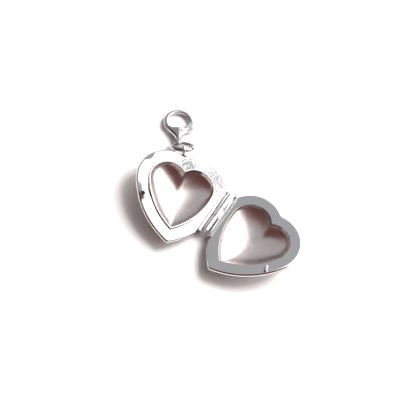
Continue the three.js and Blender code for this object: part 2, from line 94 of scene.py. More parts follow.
class HeartSizes(bpy.types.PropertyGroup):
    lobe_spread: length("Lobe spread", "From the heart's middle line to a lobe's centre", 0.0024)
    lobe_radius: length("Lobe radius", "Radius of a lobe of the heart opening", 0.00352)
    side_radius: length("Side radius", "Radius of the long side arcs", 0.01296)
    tip_drop: length("Tip drop", "From the lobes' centres down to the tip", 0.00884)
    rim_width: length("Rim width", "Width of the flat rim", 0.00208)
    outer_cleft_round: length("Outer cleft round", "Rounding in the outer cleft", 0.001)
    outer_tip_round: length("Outer tip round", "Rounding of the outer tip", 0.00055)
    cavity_cleft_round: length("Opening cleft round", "Rounding in the opening's cleft", 0.00022)
    cavity_tip_round: length("Opening tip round", "Rounding of the opening's tip", 0.0002)
    half_depth: length("Half depth", "From the flat face to the dome's lowest point", 0.0028)
    rim_thickness: length("Rim thickness", "Thickness of the rim plate", 0.00045)
    sheet: length("Sheet", "Thickness of the dome's sheet", 0.0004)
    dome_middle: length("Dome middle", "How far the dome's lowest point lies below the lobes", 0.0016)
    dome_squareness: bpy.props.FloatProperty(
        name="Dome squareness", description="2 is a round dome, more is squarer", default=2.35, min=2.0
    )
    bowl_roundness: bpy.props.FloatProperty(
        name="Bowl roundness", description="1 drops straight at its edge, 2 slopes", default=1.4, min=1.0
    )
    bowl_softening: length("Bowl softening", "How much the bowl's creases round off", 0.003)
    closed_gap: length("Closed gap", "Gap between the rims when the locket is shut", 0.00016)
    edge_round: length("Edge round", "Rounding of the opening's edge", 0.00006)
    outer_round: length("Outer round", "Rounding of the rim's outer top edge", 0.00036)
    seam_step: length("Seam step", "How far the rim stands out over the dome", 0.00007)
    # How far down the dome the painted shade under the rim reaches.
    seam_depth: length("Seam depth", "How far the dark seam reaches down the dome", 0.001)
    lip_thickness: length("Lip thickness", "Thickness of the raised lip", 0.00028)
    lip_height: length("Lip height", "How far the lip stands above the rim", 0.0003)
    lip_clearance: length("Lip clearance", "Gap between the lip and the rim", 0.00006)


class HingeSizes(bpy.types.PropertyGroup):
    turn: angle("Turn", "Turn of each heart from the hinge's line", 20.0)
    chord: length("Chord", "From the heart's middle to its straight side", 0.00673)
    bearer_width: length("Bearer width", "From the pin to the straight side", 0.00122)
    bearer_length: length("Bearer length", "Length of the strip beside the knuckles", 0.009)
    bearer_depth: length("Bearer depth", "Depth of the strip", 0.00115)
    bevel_drop: length("Bevel drop", "How far the strip's top slopes down", 0.00025)
    back_chamfer: length("Back chamfer", "Width of the slope cut into the back rim", 0.00045)
    centre: length("Centre", "How far the hinge's middle lies below the pin's zero", 0.00045)
    knuckle_radius: length("Knuckle radius", "Outer radius of a knuckle", 0.00046)
    outer_knuckle: length("Outer knuckle", "Length of each end knuckle", 0.0032)
    middle_knuckle: length("Middle knuckle", "Length of the middle knuckle", 0.00195)
    knuckle_gap: length("Knuckle gap", "Gap between knuckles", 0.00006)
    leg_rise: length("Leg rise", "How far a knuckle's leg stands above its lowest line", 0.00002)
    pin_radius: length("Pin radius", "Radius of the hinge pin", 0.0002)
    pin_head: length("Pin head", "Height of the pin's heads", 0.00014)
    head_overhang: length("Head overhang", "How far a pin head covers the knuckle's end", 0.00008)
    clearance: length("Clearance", "Gap round the pin and the rivet", 0.00005)


class CatchSizes(bpy.types.PropertyGroup):
    peg_across: length("Peg across", "From the heart's middle line to the peg", 0.00605)
    peg_down: length("Peg down", "From the lobes' centres down to the peg", 0.00385)
    peg_radius: length("Peg radius", "Radius of the peg's head", 0.00035)
    peg_waist: length("Peg waist", "Radius of the peg's waist", 0.00027)
    peg_height: length("Peg height", "Height of the peg", 0.0011)
    socket_clearance: length("Socket clearance", "Gap round the peg in its socket", 0.00006)
    notch_width: length("Notch width", "Width of the nail notch", 0.0029)
    notch_bite: length("Notch bite", "How far the notch reaches into the rim", 0.0008)
    notch_depth: length("Notch depth", "Depth of the notch", 0.00028)
    notch_angle: angle("Notch angle", "Where the notch lies round its lobe", 143.0)


class LinkSizes(bpy.types.PropertyGroup):
    bail_spot: length("Bail spot", "From the cleft to the bail's foot", 0.00075)
    bail_lean: angle("Bail lean", "Lean of the bail from the heart's middle line", 25.0)
    bail_radius: length("Bail radius", "Radius of the bail's loop", 0.00074)
    bail_wire: length("Bail wire", "Radius of the bail's wire", 0.00022)
    bail_post_width: length("Bail post", "Width of the bail's foot", 0.0007)
    bail_standoff: length("Bail standoff", "From the rim to the bail's wire", 0.0003)
    ring_radius: length("Ring radius", "Radius of the jump ring", 0.00198)
    ring_wire: length("Ring wire", "Radius of the jump ring's wire", 0.0004)
    ring_gap: angle("Ring gap", "Width of the jump ring's cut", 0.9)
    ring_gap_spot: angle("Ring gap spot", "Where the cut lies round the ring", -20.0)
    eye_round: angle("Eye round ring", "Where the clasp hangs on the jump ring", 20.0)


class ClaspSizes(bpy.types.PropertyGroup):
    eye_radius: length("Eye radius", "Radius of the clasp's eye", 0.00082)
    eye_wire: length("Eye wire", "Radius of the eye's wire", 0.00022)
    hook_centre: length("Hook centre", "From the eye to the middle of the hook", 0.0046)
    hook_radius: length("Hook radius", "Radius of the hook", 0.00228)
    hook_wire_base: length("Hook base", "Radius of the hook's wire at its base", 0.0005)
    hook_wire_tip: length("Hook tip", "Radius of the hook's wire at its tip", 0.00042)
    hook_start: angle("Hook start", "Where the hook leaves the body", 215.0)
    hook_end: angle("Hook end", "Where the hook ends at the mouth", 8.0)
    mouth_depth: length("Mouth depth", "From the hook's middle to the mouth's floor", 0.00155)
    mouth_gap: length("Mouth gap", "Gap between the hook's end and the lever's tip", 0.0002)
    hook_flush: length("Hook flush", "How far the mouth's curve cuts into the hook's wire", 0.00005)
    body_half_thickness: length("Half thickness", "Half the body's thickness", 0.00076)
    body_half_width: length("Half width", "Half the body's width", 0.0024)
    neck_half_width: length("Half neck", "Half the neck's width", 0.0005)
    neck_start: length("Neck start", "From the eye to the neck", 0.0008)
    body_overrun: length("Body overrun", "How far the body runs up past the mouth's floor", 0.0006)
    body_straightness: share("Body straightness", "How evenly the body widens", 0.35)
    swell_start: share("Swell start", "Where the body's swell starts", 0.15)
    swell_span: share("Swell span", "How much of the swell the body takes", 0.75)
    lever_thickness: length("Lever thickness", "Thickness of the lever", 0.0007)
    pivot_across: length("Pivot across", "From the middle line to the rivet", 0.0004)
    pivot_up: length("Pivot up", "From the eye to the rivet", 0.0024)
    lever_hub: length("Lever hub", "Radius of the lever round its rivet", 0.00042)
    lever_tip_radius: length("Lever tip", "Radius of the lever's tip", 0.00033)
    lever_tab_radius: length("Lever tab", "Radius of the thumb tab", 0.00045)
    lever_tab_root: length("Tab root", "Radius of the tab at the rivet", 0.00034)
    lever_tab_angle: angle("Tab angle", "Where the thumb tab stands out", -31.0)
    lever_swing: angle("Lever swing", "How far the lever opens", 26.0)
    slot_clearance: length("Slot clearance", "Gap beside the lever in its slot", 0.00006)
    slot_reach: length("Slot reach", "How far the slot's cut runs out past the body", 0.003)
    rivet_radius: length("Rivet radius", "Radius of the lever's rivet", 0.00017)
    rivet_sink: length("Rivet sink", "How far the rivet's ends lie below the body's sides", 0.00006)
    spring_thickness: length("Spring thickness", "Thickness of the leaf spring", 0.00012)
    spring_width: length("Spring width", "Width of the leaf spring", 0.0005)
    spring_length: length("Spring length", "Length of the leaf spring", 0.0012)
    spring_lean: angle("Spring lean", "Lean of the leaf spring", 20.0)
    spring_room: length("Spring room", "Room below the lever for the spring", 0.0003)


class SilverLook(bpy.types.PropertyGroup):
    silver: colour("Silver", "Colour of polished silver", (0.86, 0.86, 0.87))
    # Painted shade: a darker copy of the silver, so that the clasp and the jump ring come out as dark as
    # their shaded reflections.
    clasp: colour("Clasp silver", "Colour of the clasp and the jump ring", (0.58, 0.59, 0.62))
    # Partly painted reflection: the bowls' pink tint stands in for warm light bounced between the silver
    # walls; the rest is the silver's own colour.
    satin: colour("Satin silver", "Colour of the bowls", (0.93, 0.855, 0.84))
    # Painted shade: near black laid on the dome's outside just under the rim, standing in for the dark
    # reflection of the shadowed floor there.
    seam: colour("Seam", "Colour of the tarnish in the seam under the rim", (0.05, 0.045, 0.05))
    tarnish: colour("Tarnish", "Colour of a light tarnish", (0.60, 0.54, 0.50))
    worn: colour("Worn silver", "Colour of the pitted patches on the back rim", (0.42, 0.42, 0.44))
    steel: colour("Spring steel", "Colour of the leaf spring", (0.45, 0.45, 0.47))
    floor: colour("Floor", "Colour of the floor", (0.93, 0.92, 0.91))
    polish: share("Polished roughness", "Roughness of the polished faces", 0.09)
    satin_roughness: share("Satin roughness", "Roughness of the domes' insides", 0.27)


def in_mm(settings):
    """A settings group's lengths in millimetres, and its angles in radians."""
    values = {}
    for item in settings.bl_rna.properties:
        if item.type == "FLOAT" and not item.is_array:
            scale = 1000.0 if item.unit == "LENGTH" else 1.0
            values[item.identifier] = getattr(settings, item.identifier) * scale
    return SimpleNamespace(**values)


def sizes():
    scene = bpy.context.scene
    return SimpleNamespace(
        heart=in_mm(scene.locket_heart),
        hinge=in_mm(scene.locket_hinge),
        catch=in_mm(scene.locket_catch),
        link=in_mm(scene.locket_link),
        clasp=in_mm(scene.locket_clasp),
    )


def lerp(a, b, t):
    return a + (b - a) * t


def smoothstep(t):
    t = min(1.0, max(0.0, t))
    return t * t * (3 - 2 * t)


# Places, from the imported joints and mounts. Each turns millimetres in a part into the frame.


def axes_matrix(origin, x_axis, y_axis):
    x_axis, y_axis = x_axis.normalized(), y_axis.normalized()
    z_axis = x_axis.cross(y_axis)
    turn = Matrix((x_axis, y_axis, z_axis)).transposed().to_4x4()
    return Matrix.Translation(origin) @ turn @ Matrix.Scale(0.001, 4)


def half_place(s, side):
    """A half's own axes: Y along the pin, Z square to its flat face."""
    origin = Vector(joints["locket_hinge"]["pos_m"]) + Vector((0, s.hinge.centre / 1000, 0))
    tilt = -side * mounts["front_rim_face"]["axis"][0]
    up = Vector((tilt, 0, math.sqrt(1 - tilt * tilt)))
    return axes_matrix(origin, Vector((0, 1, 0)).cross(up), Vector((0, 1, 0)))


def heart_place(s, side):
    """A heart's axes: zero between its lobes, Y towards its cleft."""
    reach = s.hinge.chord + s.hinge.bearer_width
    slide = Matrix.Translation((-side * reach, 0, 0))
    return half_place(s, side) @ slide @ Matrix.Rotation(side * s.hinge.turn, 4, "Z")


def ring_place(s):
    """The jump ring's axes: zero where it hangs in the bail, Y across the ring."""
    bail = Vector(joints["bail_swing"]["pos_m"])
    across = Vector(joints["bail_swing"]["axis"])
    to_eye = Vector(joints["eye_swing"]["pos_m"]) - bail
    sideways = across * s.link.ring_radius / 1000 * math.sin(s.link.eye_round)
    return axes_matrix(bail, across, to_eye + sideways)


def clasp_place():
    """The clasp's axes: zero in its eye, Y towards its hook."""
    eye = joints["eye_swing"]
    return axes_matrix(Vector(eye["pos_m"]), Vector(eye["axis"]), Vector(mounts["clasp_mouth"]["axis"]))


# Outlines.


def arc(centre, radius, start, end, steps):
    angles = [lerp(start, end, i / steps) for i in range(steps)]
    return [Vector((centre.x + radius * math.cos(a), centre.y + radius * math.sin(a))) for a in angles]


def side_arc_centre(heart):
    """The centre of the long side arc, which the lobe arc touches from inside."""
    lobe, tip = Vector((heart.lobe_spread, 0)), Vector((0, -heart.tip_drop))
    span = (tip - lobe).length
    reach = heart.side_radius - heart.lobe_radius
    along = (reach**2 - heart.side_radius**2 + span**2) / (2 * span)
    across = math.sqrt(reach**2 - along**2)
    way = (tip - lobe).normalized()
    return lobe + way * along + Vector((way.y, -way.x)) * across


def heart_outline(heart, offset, cleft_round, tip_round):
    """The heart, grown outwards by offset, from its cleft round to its tip and back."""
    lobe, side = Vector((heart.lobe_spread, 0)), side_arc_centre(heart)
    lobe_radius, side_radius = heart.lobe_radius + offset, heart.side_radius + offset
    cleft = Vector((0, math.sqrt((lobe_radius + cleft_round) ** 2 - lobe.x**2)))
    tip = Vector((0, side.y - math.sqrt((side_radius - tip_round) ** 2 - side.x**2)))
    to_lobe = math.atan2(-cleft.y, lobe.x)
    to_side = math.atan2(-side.y, lobe.x - side.x)
    to_tip = math.atan2(tip.y - side.y, -side.x)
    right = [
        *arc(cleft, cleft_round, -math.pi / 2, to_lobe, 8),
        *arc(lobe, lobe_radius, to_lobe + math.pi, to_side, 52),
        *arc(side, side_radius, to_side, to_tip, 44),
        *arc(tip, tip_round, to_tip, -math.pi / 2, 8),
    ]
    left = [Vector((-p.x, p.y)) for p in reversed(right[1:])]
    return [*right, Vector((0, tip.y - tip_round)), *left]


def half_outline(s, side, inset):
    """A half's outer outline, cut straight beside the hinge."""
    normal = Vector((side * math.cos(s.hinge.turn), -math.sin(s.hinge.turn)))
    outline = heart_outline(
        s.heart, s.heart.rim_width - inset, s.heart.outer_cleft_round + inset, s.heart.outer_tip_round
    )
    limit = s.hinge.chord - inset
    return [p - normal * max(0.0, p.dot(normal) - limit) for p in outline]


def opening_outline(s, inset):
    return heart_outline(s.heart, -inset, s.heart.cavity_cleft_round, s.heart.cavity_tip_round)


def raised(outline, height):
    return [Vector((p.x, p.y, height)) for p in outline]


def corner_steps(count):
    """Steps round a corner: each has a share that falls to nothing and one that rises to one."""
    angles = [math.pi / 2 * i / count for i in range(count + 1)]
    return [(1 - math.sin(a), 1 - math.cos(a)) for a in angles]


def face_level(s):
    return -s.heart.closed_gap / 2


# Meshes, in millimetres.


def new_object(name, points, faces):
    mesh = bpy.data.meshes.new(name)
    mesh.from_pydata([tuple(p) for p in points], [], faces)
    build = bmesh.new()
    build.from_mesh(mesh)
    bmesh.ops.remove_doubles(build, verts=build.verts, dist=1e-5)
    bmesh.ops.dissolve_degenerate(build, edges=build.edges, dist=1e-6)
    bmesh.ops.recalc_face_normals(build, faces=build.faces)
    build.to_mesh(mesh)
    build.free()
    piece = bpy.data.objects.new(name, mesh)
    bpy.context.scene.collection.objects.link(piece)
    return piece


def skin(name, rings, wrap=False, first=None, last=None):
    """A skin through rings of equal counts, closed on itself or by a point at each end."""
    count = len(rings[0])
    points = [p for ring in rings for p in ring]
    pairs = len(rings) if wrap else len(rings) - 1
    faces = []
    for r in range(pairs):
        low, high = r * count, (r + 1) % len(rings) * count
        for i in range(count):
            j = (i + 1) % count
            faces.append((low + i, low + j, high + j, high + i))
    for end, base in ((first, 0), (last, (len(rings) - 1) * count)):
        if end is not None:
            points.append(end)
            tip = len(points) - 1
            faces += [(base + i, base + (i + 1) % count, tip) for i in range(count)]
    return new_object(name, points, faces)


def slab(name, outline, bottom, top):
    """A flat plate with square edges."""
    count = len(outline)
    points = raised(outline, bottom) + raised(outline, top)
    faces = [tuple(range(count)), tuple(range(count, 2 * count))]
    faces += [(i, (i + 1) % count, count + (i + 1) % count, count + i) for i in range(count)]
    return new_object(name, points, faces)


def turned(name, profile, axis="Z", steps=48):
    """A solid of revolution through (radius, height) points, which start and end on the axis."""
    ring = [Matrix.Rotation(2 * math.pi * i / steps, 3, "Z") @ Vector((1, 0, 0)) for i in range(steps)]
    rings = [[p * r + Vector((0, 0, h)) for p in ring] for r, h in profile[1:-1]]
    piece = skin(name, rings, first=Vector((0, 0, profile[0][1])), last=Vector((0, 0, profile[-1][1])))
    if axis == "Y":
        piece.data.transform(Matrix.Rotation(-math.pi / 2, 4, "X"))
    return piece


def rod(name, radius, bottom, top, spot, steps=64):
    profile = [(0, bottom), (radius, bottom), (radius, top), (0, top)]
    piece = turned(name, profile, steps=steps)
    piece.data.transform(Matrix.Translation((spot.x, spot.y, 0)))
    return piece


def rounded(points, steps=6):
    """A smooth line through the points, which keeps its ends."""
    padded = [points[0], *points, points[-1]]
    line = []
    for a, b, c, d in zip(padded, padded[1:], padded[2:], padded[3:]):
        for i in range(steps):
            t = i / steps
            line.append(tuple(
                0.5 * (
                    2 * q + (r - p) * t + (2 * p - 5 * q + 4 * r - v) * t**2
                    + (3 * q - p - 3 * r + v) * t**3
                )
                for p, q, r, v in zip(a, b, c, d)
            ))
    return [*line, points[-1]]


def plain_mesh(piece):
    """Replaces a piece's mesh with the result of its modifiers."""
    bpy.context.view_layer.update()
    shaped = bpy.data.meshes.new_from_object(piece.evaluated_get(bpy.context.evaluated_depsgraph_get()))
    old = piece.data
    piece.modifiers.clear()
    piece.data = shaped
    bpy.data.meshes.remove(old)
    return piece


def joined(name, parts):
    build = bmesh.new()
    for part in parts:
        build.from_mesh(part.data)
        bpy.data.objects.remove(part)
    mesh = bpy.data.meshes.new(name)
    build.to_mesh(mesh)
    build.free()
    piece = bpy.data.objects.new(name, mesh)
    bpy.context.scene.collection.objects.link(piece)
    return piece


def cut(piece, cutters):
    for cutter in cutters:
        modifier = piece.modifiers.new("cut", "BOOLEAN")
        modifier.operation = "DIFFERENCE"
        modifier.solver = "EXACT"
        modifier.use_self = True
        modifier.object = cutter
    plain_mesh(piece)
    for cutter in cutters:
        bpy.data.objects.remove(cutter)
    return piece


def cast(piece, grain, passes):
    """Melts a piece's parts together and softens its edges, as in cast silver."""
    remesh = piece.modifiers.new("melt", "REMESH")
    remesh.mode = "VOXEL"
    remesh.voxel_size = grain
    soften = piece.modifiers.new("soften", "SMOOTH")
    soften.factor = 0.5
    soften.iterations = passes
    return plain_mesh(piece)


def soft_edges(piece, width):
    bevel = piece.modifiers.new("soft edges", "BEVEL")
    bevel.width = width
    bevel.segments = 4
    bevel.limit_method = "ANGLE"
    bevel.angle_limit = math.radians(30)
    bevel.harden_normals = True
    return plain_mesh(piece)


def place(piece, matrix, material, body, *nodes, slot="polished_silver", sharp=40.0):
    """Sets a finished piece in the frame, in place of its CAD nodes.

    A piece that already has its own materials is given None."""
    mesh = piece.data
    mesh.transform(matrix)
    if material:
        mesh.materials.clear()
        mesh.materials.append(material)
    mesh.shade_smooth()
    if sharp:
        mesh.set_sharp_from_angle(angle=math.radians(sharp))
    mesh.update()
    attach(piece, body)
    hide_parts(*nodes)
    return piece


# Geometry node trees.


def tree_with(name, inputs):
    tree = bpy.data.node_groups.new(name, "GeometryNodeTree")
    tree.interface.new_socket("Geometry", in_out="INPUT", socket_type="NodeSocketGeometry")
    for label, kind in inputs:
        tree.interface.new_socket(label, in_out="INPUT", socket_type=kind)
    tree.interface.new_socket("Geometry", in_out="OUTPUT", socket_type="NodeSocketGeometry")
    return tree


def end_tree(tree, start, geometry):
    """Every tree ends in plain, smooth geometry with its own material."""
    links = tree.links
    realize = tree.nodes.new("GeometryNodeRealizeInstances")
    smooth = tree.nodes.new("GeometryNodeSetShadeSmooth")
    paint = tree.nodes.new("GeometryNodeSetMaterial")
    links.new(geometry, realize.inputs["Geometry"])
    links.new(realize.outputs["Geometry"], smooth.inputs["Geometry"])
    links.new(smooth.outputs["Geometry"], paint.inputs["Geometry"])
    links.new(start.outputs["Material"], paint.inputs["Material"])
    links.new(paint.outputs["Geometry"], tree.nodes.new("NodeGroupOutput").inputs["Geometry"])
    return tree


def wire_ring_tree():
    """A round wire bent into a ring, with a cut of any width in it."""
    tree = tree_with("Wire ring", [
        ("Ring radius", "NodeSocketFloat"),
        ("Wire radius", "NodeSocketFloat"),
        ("Start", "NodeSocketFloat"),
        ("Sweep", "NodeSocketFloat"),
        ("Material", "NodeSocketMaterial"),
    ])
    nodes, links = tree.nodes, tree.links
    start = nodes.new("NodeGroupInput")
    path = nodes.new("GeometryNodeCurveArc")
    path.mode = "RADIUS"
    path.inputs["Resolution"].default_value = 220
    wire = nodes.new("GeometryNodeCurvePrimitiveCircle")
    wire.inputs["Resolution"].default_value = 40
    sweep = nodes.new("GeometryNodeCurveToMesh")
    sweep.inputs["Fill Caps"].default_value = True
    links.new(start.outputs["Ring radius"], path.inputs["Radius"])
    links.new(start.outputs["Start"], path.inputs["Start Angle"])
    links.new(start.outputs["Sweep"], path.inputs["Sweep Angle"])
    links.new(start.outputs["Wire radius"], wire.inputs["Radius"])
    links.new(path.outputs["Curve"], sweep.inputs["Curve"])
    links.new(wire.outputs["Curve"], sweep.inputs["Profile Curve"])
    return end_tree(tree, start, sweep.outputs["Mesh"])


def knuckle_row_tree():
    """Repeats one knuckle along the pin."""
    tree = tree_with("Knuckle row", [
        ("Count", "NodeSocketInt"),
        ("Spacing", "NodeSocketFloat"),
        ("Material", "NodeSocketMaterial"),
    ])
    nodes, links = tree.nodes, tree.links
    start = nodes.new("NodeGroupInput")
    step = nodes.new("ShaderNodeCombineXYZ")
    line = nodes.new("GeometryNodeMeshLine")
    line.mode = "OFFSET"
    stand = nodes.new("GeometryNodeInstanceOnPoints")
    links.new(start.outputs["Spacing"], step.inputs["Y"])
    links.new(start.outputs["Count"], line.inputs["Count"])
    links.new(step.outputs["Vector"], line.inputs["Offset"])
    links.new(line.outputs["Mesh"], stand.inputs["Points"])
    links.new(start.outputs["Geometry"], stand.inputs["Instance"])
    return end_tree(tree, start, stand.outputs["Instances"])


def grow(piece, build_tree, **values):
    """Runs a geometry node tree on a piece and keeps its plain mesh."""
    modifier = piece.modifiers.new("grow", "NODES")
    tree = build_tree()
    modifier.node_group = tree
    for item in tree.interface.items_tree:
        key = item.name.lower().replace(" ", "_")
        if item.in_out == "INPUT" and key in values:
            modifier[item.identifier] = values[key]
    return plain_mesh(piece)


def wire_ring(name, ring_radius, wire_radius, material, gap=0.0, gap_at=0.0):
    """A wire ring in its own XY plane."""
    piece = new_object(name, [], [])
    piece = grow(
        piece, wire_ring_tree, ring_radius=ring_radius, wire_radius=wire_radius,
        start=gap_at + gap / 2, sweep=2 * math.pi - gap, material=material,
    )
    build = bmesh.new()
    build.from_mesh(piece.data)
    bmesh.ops.remove_doubles(build, verts=build.verts, dist=1e-5)
    build.to_mesh(piece.data)
    build.free()
    return piece


# Materials.


def group_with(name, inputs, outputs):
    group = bpy.data.node_groups.new(name, "ShaderNodeTree")
    for label, kind, default in inputs:
        socket = group.interface.new_socket(label, in_out="INPUT", socket_type=kind)
        socket.default_value = default
    for label, kind in outputs:
        group.interface.new_socket(label, in_out="OUTPUT", socket_type=kind)
    return group, group.nodes.new("NodeGroupInput"), group.nodes.new("NodeGroupOutput")


def maths(nodes, links, operation, a, b=0.0, clamp=False):
    node = nodes.new("ShaderNodeMath")
    node.operation = operation
    node.use_clamp = clamp
    for socket, value in zip(node.inputs, (a, b)):
        if isinstance(value, (int, float)):
            socket.default_value = value
        else:
            links.new(value, socket)
    return node.outputs["Value"]


def noise(nodes, links, vector, scale, detail=3.0):
    node = nodes.new("ShaderNodeTexNoise")
    node.inputs["Detail"].default_value = detail
    node.inputs["Scale"].default_value = scale
    links.new(vector, node.inputs["Vector"])
    return node.outputs["Fac"]


def mapped(nodes, links, value, low, high, start=0.0, end=1.0, smooth=False):
    """Maps the span from low to high onto the span from start to end."""
    node = nodes.new("ShaderNodeMapRange")
    if smooth:
        node.interpolation_type = "SMOOTHSTEP"
    for name, number in (("From Min", low), ("From Max", high), ("To Min", start), ("To Max", end)):
        node.inputs[name].default_value = number
    links.new(value, node.inputs["Value"])
    return node.outputs["Result"]


def mixed(nodes, links, factor, below, above):
    """Lays one colour over another. Each is a colour or a socket."""
    node = nodes.new("ShaderNodeMix")
    node.data_type = "RGBA"
    links.new(factor, node.inputs["Factor"])
    for socket, value in ((node.inputs["A"], below), (node.inputs["B"], above)):
        if isinstance(value, tuple):
            socket.default_value = value
        else:
            links.new(value, socket)
    return node.outputs["Result"]


def compared(nodes, links, operation, vector, other):
    """The distance, or the dot product, of two vectors, the second of them fixed."""
    node = nodes.new("ShaderNodeVectorMath")
    node.operation = operation
    node.inputs[1].default_value = other
    links.new(vector, node.inputs[0])
    return node.outputs["Value"]


def hand_polish_group():
    """Soft waves, crossing hairline scratches and a haze, left by a polishing cloth."""
    group, start, end = group_with(
        "Hand polish",
        [("Waves", "NodeSocketFloat", 1.0), ("Scratches", "NodeSocketFloat", 1.0)],
        [("Height", "NodeSocketFloat"), ("Haze", "NodeSocketFloat")],
    )
    nodes, links = group.nodes, group.links
    place_node = nodes.new("ShaderNodeTexCoord").outputs["Object"]
    waves = noise(nodes, links, place_node, scale=900.0, detail=1.5)
    height = maths(nodes, links, "MULTIPLY", waves, start.outputs["Waves"])
    for turn in (0.4, 1.9, 2.7):
        lay = nodes.new("ShaderNodeMapping")
        lay.inputs["Rotation"].default_value = (0.3 * turn, 0.2, turn)
        lay.inputs["Scale"].default_value = (400.0, 14000.0, 400.0)
        links.new(place_node, lay.inputs["Vector"])
        hair = noise(nodes, links, lay.outputs["Vector"], scale=1.0, detail=1.0)
        line = maths(nodes, links, "GREATER_THAN", hair, 0.68)
        fine = maths(nodes, links, "MULTIPLY", line, start.outputs["Scratches"])
        height = maths(nodes, links, "SUBTRACT", height, maths(nodes, links, "MULTIPLY", fine, 0.08))
    haze = noise(nodes, links, place_node, scale=420.0, detail=4.0)
    links.new(height, end.inputs["Height"])
    links.new(haze, end.inputs["Haze"])
    return group


def tarnish_group():
    """A patchy mask and the colour that it gives the metal."""
    group, start, end = group_with(
        "Light tarnish",
        [
            ("Metal", "NodeSocketColor", (0.8, 0.8, 0.8, 1)),
            ("Tarnish", "NodeSocketColor", (0.5, 0.45, 0.4, 1)),
            ("Amount", "NodeSocketFloat", 0.3),
        ],
        [("Color", "NodeSocketColor"), ("Mask", "NodeSocketFloat")],
    )
    nodes, links = group.nodes, group.links
    place_node = nodes.new("ShaderNodeTexCoord").outputs["Object"]
    patches = noise(nodes, links, place_node, scale=260.0, detail=5.0)
    specks = noise(nodes, links, place_node, scale=3200.0, detail=2.0)
    both = maths(nodes, links, "ADD", patches, maths(nodes, links, "MULTIPLY", specks, 0.25))
    edge = maths(nodes, links, "SUBTRACT", both, 0.5)
    mask = maths(nodes, links, "MULTIPLY", edge, start.outputs["Amount"], clamp=True)
    metal = mixed(nodes, links, mask, start.outputs["Metal"], start.outputs["Tarnish"])
    links.new(metal, end.inputs["Color"])
    links.new(mask, end.inputs["Mask"])
    return group


def shared_group(name, build):
    return bpy.data.node_groups.get(name) or build()


def silver_material(name, metal, roughness, waves, scratches, tarnish, relief):
    """Metal with a hand polish and a light tarnish. The relief of the polish is in metres."""
    material = bpy.data.materials.get(name)
    if material:
        return material
    material = bpy.data.materials.new(name)
    material.use_nodes = True
    nodes, links = material.node_tree.nodes, material.node_tree.links
    shader = nodes["Principled BSDF"]
    shader.inputs["Metallic"].default_value = 1.0
    polish = nodes.new("ShaderNodeGroup")
    polish.node_tree = shared_group("Hand polish", hand_polish_group)
    polish.inputs["Waves"].default_value = waves
    polish.inputs["Scratches"].default_value = scratches
    patina = nodes.new("ShaderNodeGroup")
    patina.node_tree = shared_group("Light tarnish", tarnish_group)
    patina.inputs["Metal"].default_value = (*metal, 1)
    patina.inputs["Tarnish"].default_value = (*bpy.context.scene.locket_look.tarnish, 1)
    patina.inputs["Amount"].default_value = tarnish
    links.new(patina.outputs["Color"], shader.inputs["Base Color"])
    spread = mapped(nodes, links, polish.outputs["Haze"], 0.0, 1.0, roughness * 0.7, roughness * 1.35)
    links.new(spread, shader.inputs["Roughness"])
    bump = nodes.new("ShaderNodeBump")
    bump.inputs["Distance"].default_value = relief
    links.new(polish.outputs["Height"], bump.inputs["Height"])
    links.new(bump.outputs["Normal"], shader.inputs["Normal"])
    return material


def darkened(material, factor, colour):
    """Lays a colour over the metal's own, where the factor says."""
    nodes, links = material.node_tree.nodes, material.node_tree.links
    base = nodes["Principled BSDF"].inputs["Base Color"]
    links.new(mixed(nodes, links, factor, base.links[0].from_socket, (*colour, 1)), base)


def worn_patch(material, centre, radius, relief, pits):
    """Dishes the metal round one spot, or pits and dulls it where pits gives their fineness."""
    nodes, links = material.node_tree.nodes, material.node_tree.links
    bump = next(n for n in nodes if n.type == "BUMP")
    place_node = nodes.new("ShaderNodeTexCoord").outputs["Object"]
    away = compared(nodes, links, "DISTANCE", place_node, centre)
    near = mapped(nodes, links, away, radius, 0.0, smooth=True)
    patch = near
    if pits:
        grain = noise(nodes, links, place_node, scale=pits)
        patch = maths(nodes, links, "MULTIPLY", near, grain)
        high_spots = maths(nodes, links, "SUBTRACT", grain, 0.42)
        dull = maths(nodes, links, "MULTIPLY", high_spots, near)
        dull = maths(nodes, links, "MULTIPLY", dull, 5.0, clamp=True)
        darkened(material, dull, bpy.context.scene.locket_look.worn)
    height = maths(nodes, links, "MULTIPLY", patch, relief / bump.inputs["Distance"].default_value)
    before = bump.inputs["Height"].links[0].from_socket
    links.new(maths(nodes, links, "ADD", before, height), bump.inputs["Height"])


def polished_silver():
    look = bpy.context.scene.locket_look
    return silver_material(
        "Polished silver", look.silver, look.polish, waves=1.0, scratches=0.6, tarnish=0.5, relief=4e-6
    )


def clasp_silver():
    """The clasp and the jump ring get a darker copy of the silver, which paints in their shaded look."""
    look = bpy.context.scene.locket_look
    return silver_material(
        "Clasp silver", look.clasp, look.polish, waves=1.0, scratches=0.6, tarnish=0.8, relief=5e-6
    )


def front_rim_silver():
    look = bpy.context.scene.locket_look
    return silver_material(
        "Front rim silver", look.silver, look.polish, waves=0.8, scratches=0.8, tarnish=0.4, relief=3e-6
    )


def back_rim_silver(s):
    """The back rim is more worn: swollen round its socket, and pitted by its cleft and right lobe."""
    look = bpy.context.scene.locket_look
    material = silver_material(
        "Back rim silver", look.silver, look.polish * 1.3, waves=1.2, scratches=1.0, tarnish=0.6, relief=5e-6
    )
    heart, catch, where = s.heart, s.catch, heart_place(s, BACK)
    socket = where @ Vector((-catch.peg_across, -catch.peg_down + 0.4, face_level(s)))
    cleft = where @ Vector((0.6, heart.lobe_radius + 0.3, face_level(s)))
    lobe = where @ Vector((heart.lobe_spread + 3.2, heart.lobe_radius - 0.9, face_level(s)))
    worn_patch(material, socket, radius=0.0021, relief=4.5e-4, pits=0)
    worn_patch(material, cleft, radius=0.0024, relief=4.0e-4, pits=2600.0)
    worn_patch(material, lobe, radius=0.0060, relief=1.6e-4, pits=5200.0)
    return material


def satin_silver():
    # The bowls' satin roughness is their own finish; their pink tint is a painted warm interreflection.
    look = bpy.context.scene.locket_look
    return silver_material(
        "Satin silver", look.satin, look.satin_roughness, waves=1.0, scratches=0.4, tarnish=0.5, relief=1.4e-5
    )


